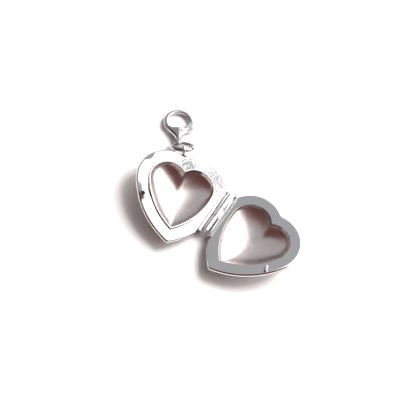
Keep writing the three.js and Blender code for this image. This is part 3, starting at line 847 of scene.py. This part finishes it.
def dome_silver():
    """Polished domes, with painted shade laid near black on the outside just under the rim, where the dome
    mirrors the shadowed floor.
    """
    look = bpy.context.scene.locket_look
    material = silver_material(
        "Dome silver", look.silver, look.polish, waves=1.0, scratches=0.8, tarnish=0.6, relief=4e-6
    )
    nodes = material.node_tree.nodes
    if not any(n.type == "ATTRIBUTE" for n in nodes):
        # The mask of the painted shade under the rim, stored on the shell's points.
        seam = nodes.new("ShaderNodeAttribute")
        seam.attribute_name = "seam"
        darkened(material, seam.outputs["Fac"], look.seam)
    return material


def spring_steel():
    look = bpy.context.scene.locket_look
    return silver_material(
        "Spring steel", look.steel, 0.3, waves=0.5, scratches=2.0, tarnish=0.6, relief=4e-6
    )


# The halves.


def rounded_rim(s, side, name):
    """The flat rim plate, with softly rounded edges all round."""
    top, bottom = face_level(s), face_level(s) - s.heart.rim_thickness
    turn, outer = s.heart.edge_round, s.heart.outer_round
    steps = corner_steps(7)
    rings = [raised(half_outline(s, side, turn * fall), bottom + turn * rise) for fall, rise in steps]
    rings += [raised(half_outline(s, side, outer * rise), top - outer * fall) for fall, rise in steps]
    rings.append(raised(half_outline(s, side, outer + turn), top))
    rings.append(raised(opening_outline(s, -2.5 * turn), top))
    rings += [raised(opening_outline(s, -turn * fall), top - turn * rise) for fall, rise in steps]
    rings.append(raised(opening_outline(s, 0), bottom))
    return skin(name, rings, wrap=True)


def notch_cutter(s):
    """A disc whose floor leans outwards, so the notch is deepest at the rim's edge."""
    heart, catch = s.heart, s.catch
    radius = (catch.notch_width**2 / 4 + catch.notch_bite**2) / (2 * catch.notch_bite)
    way = Vector((math.cos(catch.notch_angle), math.sin(catch.notch_angle)))
    reach = heart.lobe_radius + heart.rim_width + radius - catch.notch_bite
    spot = Vector((-heart.lobe_spread, 0)) + way * reach
    piece = rod("notch cutter", radius, -catch.notch_depth, 2 * CUT_THROUGH, Vector((0, 0)), 128)
    edge = -way * (radius - catch.notch_bite)
    slope = math.atan2(catch.notch_depth, catch.notch_bite)
    lean = Matrix.Rotation(slope, 4, Vector((-way.y, way.x, 0)))
    about = Matrix.Translation((edge.x, edge.y, 0))
    piece.data.transform(about @ lean @ about.inverted())
    piece.data.transform(Matrix.Translation((spot.x, spot.y, face_level(s))))
    return piece


def chamfer_drop(s):
    return s.hinge.bevel_drop * s.hinge.back_chamfer / (s.hinge.bearer_width - s.hinge.knuckle_radius)


def along_hinge(name, side, section, start, length_along):
    """A section drawn across the hinge (away from the pin, up), drawn out along the pin."""
    outline = [Vector((side * x, y)) for x, y in section]
    piece = slab(name, outline, 0, length_along)
    shift = Matrix.Translation((0, start + length_along, 0))
    piece.data.transform(shift @ Matrix.Rotation(math.pi / 2, 4, "X"))
    return piece


def chamfer_cutter(s):
    """The wedge that carries the back strip's slope on into the rim."""
    hinge, top = s.hinge, face_level(s)
    section = [
        (hinge.bearer_width - SEAT, top - chamfer_drop(s)),
        (hinge.bearer_width + hinge.back_chamfer, top),
        (hinge.bearer_width + hinge.back_chamfer, CUT_THROUGH),
        (hinge.bearer_width - SEAT, CUT_THROUGH),
    ]
    length_along = hinge.bearer_length
    piece = along_hinge("chamfer cutter", -1, section, -hinge.centre - length_along, 2 * length_along)
    reach = hinge.chord + hinge.bearer_width
    piece.data.transform(Matrix.Rotation(-hinge.turn, 4, "Z") @ Matrix.Translation((reach, 0, 0)))
    return piece


def back_rim(s):
    rim = rounded_rim(s, BACK, "Back_rim")
    cut(rim, [socket_cutter(s), notch_cutter(s), chamfer_cutter(s)])
    return rim


def sunk_rings(s, outline_at, floor, inwards, downwards):
    """Rings down a dome or a bowl, from the rim's underside to its lowest point.

    The outline may change with how far a ring has closed in."""
    middle = Vector((0, -s.heart.dome_middle))
    top = face_level(s) - s.heart.rim_thickness - SEAT
    steps, rings = 48, []
    for i in range(steps):
        turn = (i / steps) ** 1.15 * math.pi / 2
        scale = math.cos(turn) ** inwards
        flat = [middle + (p - middle) * scale for p in outline_at(1 - scale)]
        rings.append(raised(flat, lerp(top, floor, math.sin(turn) ** downwards)))
    return rings


def dome_shell(s, side, name):
    """A domed back with a bowl sunk in it, as wide as the half's clear opening.

    The bowl's creases at cleft and tip fade towards its middle."""
    heart = s.heart
    floor = face_level(s) - heart.half_depth
    edge = heart.lip_clearance + heart.lip_thickness if side == BACK else 0
    square = 2 / heart.dome_squareness
    outline = half_outline(s, side, heart.seam_step)
    outer = sunk_rings(s, lambda closed: outline, floor, square, square)

    def bowl_outline(closed):
        softer = heart.bowl_softening * closed
        return heart_outline(
            heart, -edge, heart.cavity_cleft_round + softer, heart.cavity_tip_round + softer
        )

    bowl = sunk_rings(s, bowl_outline, floor + heart.sheet, 1, heart.bowl_roundness)
    lowest = Vector((0, -heart.dome_middle, floor))
    bowl_lowest = lowest + Vector((0, 0, heart.sheet))
    return skin(name, [*reversed(bowl), *outer], first=bowl_lowest, last=lowest)


def paint_shell(s, shell):
    """Gives the bowl the satin material with its painted warm tint, and marks how close the dome's outside is
    to the rim's underside, as the mask of the painted shade there.
    """
    middle = Vector((0, -s.heart.dome_middle, 0))
    seam_top = face_level(s) - s.heart.rim_thickness
    mesh = shell.data
    # Mask of the painted shade: full at the rim's underside, fading to nothing down the band below it.
    seam = mesh.attributes.new("seam", "FLOAT", "POINT")
    depths = [min(1.0, max(0.0, (seam_top - v.co.z) / s.heart.seam_depth)) for v in mesh.vertices]
    seam.data.foreach_set("value", [1 - depth**2 for depth in depths])
    # Material 0, the bowl: satin roughness with a painted warm interreflection tint. Material 1, the dome's
    # outside: polished, with the painted shade under the rim.
    mesh.materials.append(satin_silver())
    mesh.materials.append(dome_silver())
    for face in mesh.polygons:
        outwards = face.center - middle
        outside = face.normal.x * outwards.x + face.normal.y * outwards.y > 0 or face.normal.z < -0.5
        face.material_index = 1 if outside else 0


def socket_cutter(s):
    """The hole that the catch peg goes into."""
    catch = s.catch
    radius, bottom = catch.peg_radius + catch.socket_clearance, face_level(s) - catch.peg_height
    return rod("socket cutter", radius, bottom, CUT_THROUGH, Vector((-catch.peg_across, -catch.peg_down)))


def raised_lip(s):
    """The thin wall that stands round the back half's opening, rounded along its top."""
    heart = s.heart
    outside, inside = heart.lip_clearance, heart.lip_clearance + heart.lip_thickness
    bottom, top = face_level(s) - heart.rim_thickness, face_level(s) + heart.lip_height
    turn = heart.lip_thickness * 0.32
    steps = corner_steps(5)
    rings = [raised(opening_outline(s, outside), bottom)]
    rings += [raised(opening_outline(s, outside + turn * rise), top - turn * fall) for fall, rise in steps]
    rings += [raised(opening_outline(s, inside - turn * fall), top - turn * rise) for fall, rise in steps]
    rings.append(raised(opening_outline(s, inside), bottom))
    return skin("Back_lip", rings, wrap=True)


def catch_peg(s):
    """A snap peg: a straight foot, a waist and a domed head."""
    catch = s.catch
    head, waist, height = catch.peg_radius, catch.peg_waist, catch.peg_height
    foot = [(0, 0), (head, 0), (head, height * 0.04)]
    stem = rounded([
        (head * 0.92, height * 0.1), (waist, height * 0.25), (waist, height * 0.45),
        (head, height * 0.62), (head, height * 0.78), (head * 0.9, height * 0.9),
        (head * 0.62, height * 0.97), (0, height),
    ])
    peg = turned("Catch_peg", foot + stem, steps=56)
    spot = (catch.peg_across, -catch.peg_down, face_level(s) + SEAT)
    peg.data.transform(Matrix.Translation(spot))
    return peg


# The hinge.


def bearer(s, side, name):
    """The strip beside the knuckles. Its side is where it lies from the pin."""
    hinge = s.hinge
    top = face_level(s) - (chamfer_drop(s) if side < 0 else 0)
    inner, outer = hinge.knuckle_radius + hinge.knuckle_gap, hinge.bearer_width - SEAT
    floor = face_level(s) - hinge.bearer_depth
    section = [(outer, top), (inner, top - hinge.bevel_drop), (inner, floor), (outer, floor)]
    start = -hinge.centre - hinge.bearer_length / 2
    return soft_edges(along_hinge(name, side, section, start, hinge.bearer_length), 0.05)


def knuckle_reach(s, side, turn):
    """How far a knuckle's outside stands from the pin, with its leg towards its strip."""
    hinge = s.hinge
    way = Vector((math.cos(turn), math.sin(turn)))
    leg = hinge.knuckle_radius + hinge.knuckle_gap - SEAT
    low = -hinge.knuckle_radius + hinge.leg_rise
    high = low + hinge.knuckle_radius - hinge.pin_radius
    reach = hinge.knuckle_radius
    if way.x * side > 0:
        out = leg / (way.x * side)
        if low <= way.y * out <= high:
            reach = max(reach, out)
    return reach


def knuckle(s, side, name, start, length_along):
    """A rolled knuckle with rounded rims, round the pin's hole."""
    hinge = s.hinge
    edge_round = 0.035
    angles = [2 * math.pi * i / 72 for i in range(72)]
    outer = [knuckle_reach(s, side, a) for a in angles]
    bore = [hinge.pin_radius + hinge.clearance] * len(angles)
    begin, end = start + hinge.knuckle_gap / 2, start + length_along - hinge.knuckle_gap / 2

    def ring(reaches, inset, y):
        spans = [reach - inset for reach in reaches]
        return [Vector((math.cos(a) * span, y, math.sin(a) * span)) for a, span in zip(angles, spans)]

    steps = [(edge_round * fall, edge_round * rise) for fall, rise in corner_steps(4)]
    rings = [ring(bore, 0, end), ring(bore, 0, begin)]
    rings += [ring(outer, fall, begin + rise) for fall, rise in steps]
    rings += [ring(outer, rise, end - fall) for fall, rise in steps]
    return skin(name, rings, wrap=True)


def hinge_pin(s):
    """The pin, with a low domed head at each end."""
    hinge = s.hinge
    long = hinge.outer_knuckle + hinge.middle_knuckle / 2 + hinge.pin_head
    head = hinge.pin_radius + hinge.clearance + hinge.head_overhang
    half = [
        (hinge.pin_radius, long - hinge.pin_head), (head, long - hinge.pin_head),
        (head, long - hinge.pin_head * 0.6), (head * 0.9, long - hinge.pin_head * 0.3),
        (head * 0.6, long - hinge.pin_head * 0.06), (0, long),
    ]
    profile = [(r, -h) for r, h in reversed(half)] + half
    pin = turned("Hinge_pin", profile, axis="Y", steps=40)
    pin.data.transform(Matrix.Translation((0, -hinge.centre, 0)))
    return pin


# The bail and the jump ring.


def bail_loop(s, material):
    """A wire loop on a short post, soldered beside the cleft."""
    link, heart = s.link, s.heart
    depth = heart.rim_thickness - face_level(s)
    top = link.bail_standoff + link.bail_wire
    loop = wire_ring("bail wire", link.bail_radius, link.bail_wire, material)
    stand = Matrix.Translation((0, top + link.bail_radius, 0))
    loop.data.transform(stand @ Matrix.Rotation(math.pi / 2, 4, "Y"))
    half, low = link.bail_post_width / 2, -link.bail_radius
    foot = [Vector(corner) for corner in ((-half, low), (half, low), (half, top), (-half, top))]
    bail = joined("Bail_loop", [loop, slab("post", foot, -depth, 0)])
    spot = Matrix.Translation((-link.bail_spot, half_outline(s, BACK, 0)[0].y, 0))
    bail.data.transform(spot @ Matrix.Rotation(link.bail_lean, 4, "Z"))
    cut(bail, [slab("heart cutter", half_outline(s, BACK, -SEAT / 2), -5, CUT_THROUGH)])
    return cast(bail, grain=0.022, passes=5)


def jump_ring(s, material):
    """A plain wire ring, with the fine cut where it was closed."""
    link = s.link
    ring = wire_ring(
        "Jump_ring", link.ring_radius, link.ring_wire, material, link.ring_gap, link.ring_gap_spot
    )
    ring.data.transform(Matrix.Translation((0, link.ring_radius, 0)))
    return ring


# The clasp.


def round_section(centre, along, across_radius, up_radius, count=36):
    """An oval across a flat path, round one point of it."""
    across = Vector((along.y, -along.x, 0))
    angles = [2 * math.pi * i / count for i in range(count)]
    return [
        centre + across * math.cos(a) * across_radius + Vector((0, 0, math.sin(a) * up_radius))
        for a in angles
    ]


def hook(s):
    """A tapering wire up the left, over the top and down to the mouth."""
    clasp, steps = s.clasp, 90
    centres, rings = [], []
    for i in range(steps + 1):
        turn = lerp(clasp.hook_start, clasp.hook_end, i / steps)
        radius = lerp(clasp.hook_wire_base, clasp.hook_wire_tip, i / steps)
        centre = Vector((math.cos(turn), math.sin(turn), 0)) * clasp.hook_radius
        centre.y += clasp.hook_centre
        centres.append(centre)
        rings.append(round_section(centre, Vector((math.sin(turn), -math.cos(turn), 0)), radius, radius))
    return skin("hook", rings, first=centres[0], last=centres[-1])


def mouth_floor(clasp):
    return clasp.hook_centre - clasp.mouth_depth


def teardrop(s):
    """The body widens from its neck to the hook's base, and is thickest in the middle."""
    clasp, steps = s.clasp, 40
    centres, rings = [], []
    for i in range(steps + 1):
        part = i / steps
        centre = Vector((0, lerp(clasp.neck_start, mouth_floor(clasp) + clasp.body_overrun, part), 0))
        flare = lerp(smoothstep(part), part, clasp.body_straightness)
        wide = lerp(clasp.neck_half_width, clasp.body_half_width, flare)
        swell = math.sin(math.pi * (clasp.swell_start + clasp.swell_span * part))
        thick = lerp(clasp.neck_half_width, clasp.body_half_thickness, swell)
        centres.append(centre)
        rings.append(round_section(centre, Vector((0, 1, 0)), wide, thick, 48))
    return skin("teardrop", rings, first=centres[0], last=centres[-1])


def mouth_cutter(s):
    """Clears the hook's mouth down to its flat floor."""
    clasp = s.clasp
    radius = clasp.hook_radius - (clasp.hook_wire_base + clasp.hook_wire_tip) / 4 - clasp.hook_flush
    circle = arc(Vector((0, clasp.hook_centre)), radius, 0, 2 * math.pi, 96)
    floor = mouth_floor(clasp)
    outline = [p for p in circle if p.y > floor]
    return slab("mouth cutter", outline, -CUT_THROUGH, CUT_THROUGH)


def pivot(clasp):
    return Vector((clasp.pivot_across, clasp.pivot_up))


def on_ring(clasp, turn, outwards):
    reach = clasp.hook_radius + outwards
    return Vector((math.cos(turn) * reach, math.sin(turn) * reach + clasp.hook_centre))


def lever_tip(clasp):
    return on_ring(clasp, clasp.hook_end - (clasp.mouth_gap + clasp.lever_tip_radius) / clasp.hook_radius, 0)


def lever_tab(clasp):
    return on_ring(clasp, clasp.lever_tab_angle, clasp.lever_tab_radius / 2)


def slot_floor(clasp):
    tab = lever_tab(clasp) - pivot(clasp)
    tab.rotate(Matrix.Rotation(-clasp.lever_swing, 2))
    lowered = (tab + pivot(clasp)).y - clasp.lever_tab_radius
    return min(lowered, clasp.pivot_up - clasp.lever_hub) - clasp.spring_room


def slot_cutter(s):
    """Makes room in the body's shoulder for the lever's hub, its tab and its spring."""
    clasp = s.clasp
    half = clasp.lever_thickness / 2 + clasp.slot_clearance
    left = clasp.pivot_across - clasp.lever_hub - clasp.slot_clearance
    low = slot_floor(clasp)
    right, high = left + clasp.slot_reach, low + clasp.slot_reach
    corners = [Vector(corner) for corner in ((left, low), (right, low), (right, high), (left, high))]
    return slab("slot cutter", corners, -half, half)


def rivet_bore(s, clearance):
    radius = s.clasp.rivet_radius + clearance
    return rod("bore cutter", radius, -CUT_THROUGH, CUT_THROUGH, pivot(s.clasp), 40)


def clasp_body(s, material):
    """The teardrop body, hook and eye, cast as one and then cut for the lever."""
    clasp = s.clasp
    eye = wire_ring("eye", clasp.eye_radius, clasp.eye_wire, material)
    eye.data.transform(Matrix.Rotation(math.pi / 2, 4, "Y"))
    body = cast(joined("Clasp_body", [teardrop(s), hook(s), eye]), grain=0.04, passes=3)
    cut(body, [mouth_cutter(s), slot_cutter(s), rivet_bore(s, s.hinge.clearance / 2)])
    return cast(body, grain=0.032, passes=4)


def bar(name, start, end, start_radius, end_radius, thickness):
    """A flat bar with round ends."""
    lean = math.atan2(end.y - start.y, end.x - start.x)
    quarter = math.pi / 2
    outline = [
        *arc(start, start_radius, lean + quarter, lean + 3 * quarter, 28),
        start + Vector((math.cos(lean - quarter), math.sin(lean - quarter))) * start_radius,
        *arc(end, end_radius, lean - quarter, lean + quarter, 28),
        end + Vector((math.cos(lean + quarter), math.sin(lean + quarter))) * end_radius,
    ]
    return slab(name, outline, -thickness / 2, thickness / 2)


def clasp_lever(s):
    """The arm that shuts the mouth, and the thumb tab that opens it."""
    clasp = s.clasp
    hub, thick = pivot(clasp), clasp.lever_thickness
    arm = bar("arm", hub, lever_tip(clasp), clasp.lever_hub, clasp.lever_tip_radius, thick)
    tab = bar("tab", hub, lever_tab(clasp), clasp.lever_tab_root, clasp.lever_tab_radius, thick)
    lever = cast(joined("Clasp_lever", [arm, tab]), grain=0.025, passes=1)
    cut(lever, [rivet_bore(s, s.hinge.clearance)])
    return cast(lever, grain=0.02, passes=8)


def lever_rivet(s):
    clasp = s.clasp
    reach, radius = clasp.body_half_thickness - clasp.rivet_sink, clasp.rivet_radius
    crown = 0.06
    half = [
        (radius, reach - crown), (radius * 0.9, reach - crown / 2),
        (radius * 0.6, reach - crown / 7.5), (0, reach),
    ]
    rivet = turned("Lever_rivet", [(r, -h) for r, h in reversed(half)] + half, steps=32)
    rivet.data.transform(Matrix.Translation((clasp.pivot_across, clasp.pivot_up, 0)))
    return rivet


def lever_spring(s):
    clasp = s.clasp
    thin = clasp.spring_thickness / 2
    start = Vector((clasp.pivot_across - clasp.lever_hub, slot_floor(clasp) + thin + SEAT))
    end = start + Vector((math.cos(clasp.spring_lean), math.sin(clasp.spring_lean))) * clasp.spring_length
    return bar("Lever_spring", start, end, thin, thin, clasp.spring_width)


# The stage.


def softbox(name, spot, size, power, tint):
    """A square light that faces the charm, and that the silver doesn't mirror."""
    light = bpy.data.lights.new(name, "AREA")
    light.shape = "RECTANGLE"
    light.size = light.size_y = size
    light.energy = power
    light.color = tint
    obj = bpy.data.objects.new(name, light)
    obj.location = spot
    obj.rotation_euler = (-Vector(spot)).to_track_quat("-Z", "Y").to_euler()
    obj.visible_glossy = False
    bpy.context.scene.collection.objects.link(obj)


# What the silver mirrors, each laid over the one before: where it lies, the closeness to that
# way (as a cosine) where it starts and where it is full, and its colour.
SURROUNDINGS = {
    "dark room in front": ((0, -1, 0.35), -0.1, 0.65, (0.12, 0.045, 0.04, 1)),
    "grey ceiling": ((-0.39, 0.45, 0.80), 0.72, 0.90, (0.41, 0.41, 0.425, 1)),
    "white paper behind": ((0.5, 0.7, 0.35), 0.50, 0.82, (2.6, 2.58, 2.55, 1)),
    "bright window above": ((0.26, 0.46, 0.85), 0.885, 0.955, (1.8, 1.79, 1.77, 1)),
    "dim floor": ((0, 0, -1), -0.36, -0.2, (0.06, 0.055, 0.065, 1)),
}
ROOM_COLOUR = (0.48, 0.405, 0.39, 1)


def studio_world():
    world = bpy.data.worlds.new("Studio")
    bpy.context.scene.world = world
    world.use_nodes = True
    nodes, links = world.node_tree.nodes, world.node_tree.links
    way = nodes.new("ShaderNodeTexCoord").outputs["Generated"]
    seen = ROOM_COLOUR
    for direction, low, high, tint in SURROUNDINGS.values():
        closeness = compared(nodes, links, "DOT_PRODUCT", way, Vector(direction).normalized())
        part = mapped(nodes, links, closeness, low, high, smooth=True)
        seen = mixed(nodes, links, part, seen, tint)
    links.new(seen, nodes["Background"].inputs["Color"])


CAMERA_LENS = 86.3
CAMERA_SPOT = Vector((0.021542, -0.077717, 0.150001))
CAMERA_RIGHT = Vector((0.8424, 0.5211, 0.1372))
CAMERA_UP = Vector((-0.52096, 0.72263, 0.45432))
CAMERA_FORWARD = Vector((-0.13759, 0.45420, -0.88021))


def studio_camera():
    """The camera looks down on the charm from in front, rolled a little. Its spot is from the pin."""
    camera = bpy.data.objects.new("Camera", bpy.data.cameras.new("Camera"))
    camera.data.lens = CAMERA_LENS
    camera.data.sensor_width = 36.0
    camera.data.clip_start = 0.01
    turn = Matrix((CAMERA_RIGHT, CAMERA_UP, -CAMERA_FORWARD)).transposed().to_4x4()
    pin = Vector(joints["locket_hinge"]["pos_m"])
    camera.matrix_world = Matrix.Translation(pin + CAMERA_SPOT) @ turn
    bpy.context.scene.collection.objects.link(camera)
    bpy.context.scene.camera = camera


FLOOR_RADIUS, FLOOR_THICKNESS = 900, 2
KEY_SPOT, KEY_SIZE, KEY_POWER = (0.15, 0.25, 0.345), 0.22, 2.4


def floor_material():
    material = bpy.data.materials.new("Pale paper")
    material.use_nodes = True
    nodes, links = material.node_tree.nodes, material.node_tree.links
    shader = nodes["Principled BSDF"]
    shader.inputs["Base Color"].default_value = (*bpy.context.scene.locket_look.floor, 1)
    shader.inputs["Specular IOR Level"].default_value = 0.15
    place_node = nodes.new("ShaderNodeTexCoord").outputs["Object"]
    fibres = noise(nodes, links, place_node, scale=300.0)
    links.new(mapped(nodes, links, fibres, 0.0, 1.0, 0.75, 0.9), shader.inputs["Roughness"])
    return material


# Operators: one for each piece or group of like pieces, and one for the stage.


class Build:
    bl_options = {"REGISTER", "UNDO"}

    def execute(self, context):
        self.build(sizes())
        return {"FINISHED"}


class LOCKET_OT_rims(Build, bpy.types.Operator):
    """Builds both flat rims, with the nail notch and the peg's socket in the back one"""

    bl_idname = "locket.rims"
    bl_label = "Rims"

    def build(self, s):
        place(back_rim(s), heart_place(s, BACK), back_rim_silver(s), "back_half", "back_rim", sharp=25)
        front = rounded_rim(s, FRONT, "Front_rim")
        place(front, heart_place(s, FRONT), front_rim_silver(), "front_half", "front_rim", sharp=25)


class LOCKET_OT_domes(Build, bpy.types.Operator):
    """Builds both domed shells"""

    bl_idname = "locket.domes"
    bl_label = "Domes"

    def build(self, s):
        for side, name in ((BACK, "back"), (FRONT, "front")):
            shell = dome_shell(s, side, name.title() + "_shell")
            if side == BACK:
                cut(shell, [socket_cutter(s)])
            paint_shell(s, shell)
            where = heart_place(s, side)
            place(shell, where, None, name + "_half", name + "_shell", slot="satin_silver", sharp=50)


class LOCKET_OT_lip(Build, bpy.types.Operator):
    """Builds the raised lip round the back half's opening"""

    bl_idname = "locket.lip"
    bl_label = "Lip"

    def build(self, s):
        place(raised_lip(s), heart_place(s, BACK), polished_silver(), "back_half", "back_lip")


class LOCKET_OT_catch(Build, bpy.types.Operator):
    """Builds the catch peg"""

    bl_idname = "locket.catch"
    bl_label = "Catch peg"

    def build(self, s):
        place(catch_peg(s), heart_place(s, FRONT), polished_silver(), "front_half", "catch_peg")


class LOCKET_OT_bearers(Build, bpy.types.Operator):
    """Builds the strip beside the knuckles on each half"""

    bl_idname = "locket.bearers"
    bl_label = "Hinge strips"

    def build(self, s):
        for side, name in ((BACK, "back"), (FRONT, "front")):
            strip = bearer(s, -side, name.title() + "_bearer")
            place(strip, half_place(s, side), polished_silver(), name + "_half", name + "_bearer")


class LOCKET_OT_knuckles(Build, bpy.types.Operator):
    """Builds the hinge's knuckles: two on the back half and one on the front half"""

    bl_idname = "locket.knuckles"
    bl_label = "Knuckles"

    def build(self, s):
        hinge, silver = s.hinge, polished_silver()
        start = -hinge.centre - hinge.outer_knuckle - hinge.middle_knuckle / 2
        spacing = hinge.outer_knuckle + hinge.middle_knuckle
        outer = knuckle(s, -1, "Back_knuckles", start, hinge.outer_knuckle)
        grow(outer, knuckle_row_tree, count=2, spacing=spacing, material=silver)
        lower_and_upper = ("back_knuckle_lower", "back_knuckle_upper")
        place(outer, half_place(s, BACK), silver, "back_half", *lower_and_upper)
        middle = knuckle(s, 1, "Front_knuckle", start + hinge.outer_knuckle, hinge.middle_knuckle)
        grow(middle, knuckle_row_tree, count=1, spacing=spacing, material=silver)
        place(middle, half_place(s, FRONT), silver, "front_half", "front_knuckle_middle")


class LOCKET_OT_pin(Build, bpy.types.Operator):
    """Builds the hinge pin with its two heads"""

    bl_idname = "locket.pin"
    bl_label = "Hinge pin"

    def build(self, s):
        place(hinge_pin(s), half_place(s, BACK), polished_silver(), "back_half", "hinge_pin")


class LOCKET_OT_bail(Build, bpy.types.Operator):
    """Builds the bail loop beside the cleft"""

    bl_idname = "locket.bail"
    bl_label = "Bail loop"

    def build(self, s):
        silver = polished_silver()
        place(bail_loop(s, silver), heart_place(s, BACK), silver, "back_half", "bail_loop", sharp=0)


class LOCKET_OT_jump_ring(Build, bpy.types.Operator):
    """Builds the jump ring, with the fine cut where it was closed"""

    bl_idname = "locket.jump_ring"
    bl_label = "Jump ring"

    def build(self, s):
        silver = clasp_silver()
        place(jump_ring(s, silver), ring_place(s), silver, "jump_ring", "jump_ring")


class LOCKET_OT_clasp(Build, bpy.types.Operator):
    """Builds the clasp's body, with its eye and its hook"""

    bl_idname = "locket.clasp"
    bl_label = "Clasp body"

    def build(self, s):
        silver = clasp_silver()
        place(clasp_body(s, silver), clasp_place(), silver, "clasp", "clasp_body", sharp=0)


class LOCKET_OT_lever(Build, bpy.types.Operator):
    """Builds the clasp's lever, its rivet and its leaf spring"""

    bl_idname = "locket.lever"
    bl_label = "Lever"

    def build(self, s):
        silver, where = clasp_silver(), clasp_place()
        place(clasp_lever(s), where, silver, "clasp_lever", "clasp_lever", sharp=0)
        place(lever_rivet(s), where, silver, "clasp", "lever_rivet")
        place(lever_spring(s), where, spring_steel(), "clasp", "lever_spring", slot="spring_steel")


class LOCKET_OT_stage(Build, bpy.types.Operator):
    """Builds the pale floor, the studio light and the camera"""

    bl_idname = "locket.stage"
    bl_label = "Stage"

    def build(self, s):
        floor = slab("Floor", arc(Vector((0, 0)), FLOOR_RADIUS, 0, 2 * math.pi, 96), -FLOOR_THICKNESS, 0)
        floor.data.transform(Matrix.Scale(0.001, 4))
        floor.data.materials.append(floor_material())
        softbox("Key", KEY_SPOT, KEY_SIZE, KEY_POWER, (1.0, 0.99, 0.98))
        studio_world()
        studio_camera()
        bpy.context.scene.view_settings.view_transform = "Standard"


class LOCKET_PT_panel(bpy.types.Panel):
    bl_label = "Heart Locket Charm"
    bl_idname = "LOCKET_PT_panel"
    bl_space_type = "VIEW_3D"
    bl_region_type = "UI"
    bl_category = "Locket"

    def draw(self, context):
        for operator in OPERATORS:
            self.layout.operator(operator.bl_idname)


SETTINGS = {
    "locket_heart": HeartSizes,
    "locket_hinge": HingeSizes,
    "locket_catch": CatchSizes,
    "locket_link": LinkSizes,
    "locket_clasp": ClaspSizes,
    "locket_look": SilverLook,
}
OPERATORS = (
    LOCKET_OT_stage,
    LOCKET_OT_rims,
    LOCKET_OT_domes,
    LOCKET_OT_lip,
    LOCKET_OT_catch,
    LOCKET_OT_bearers,
    LOCKET_OT_knuckles,
    LOCKET_OT_pin,
    LOCKET_OT_bail,
    LOCKET_OT_jump_ring,
    LOCKET_OT_clasp,
    LOCKET_OT_lever,
)


def register():
    for cls in (*SETTINGS.values(), *OPERATORS, LOCKET_PT_panel):
        bpy.utils.register_class(cls)
    for name, group in SETTINGS.items():
        setattr(bpy.types.Scene, name, bpy.props.PointerProperty(type=group))


def unregister():
    for name in SETTINGS:
        delattr(bpy.types.Scene, name)
    for cls in (LOCKET_PT_panel, *reversed(OPERATORS), *SETTINGS.values()):
        bpy.utils.unregister_class(cls)


def main():
    register()
    for operator in OPERATORS:
        group, name = operator.bl_idname.split(".")
        getattr(getattr(bpy.ops, group), name)()


if __name__ == "__main__":
    main()
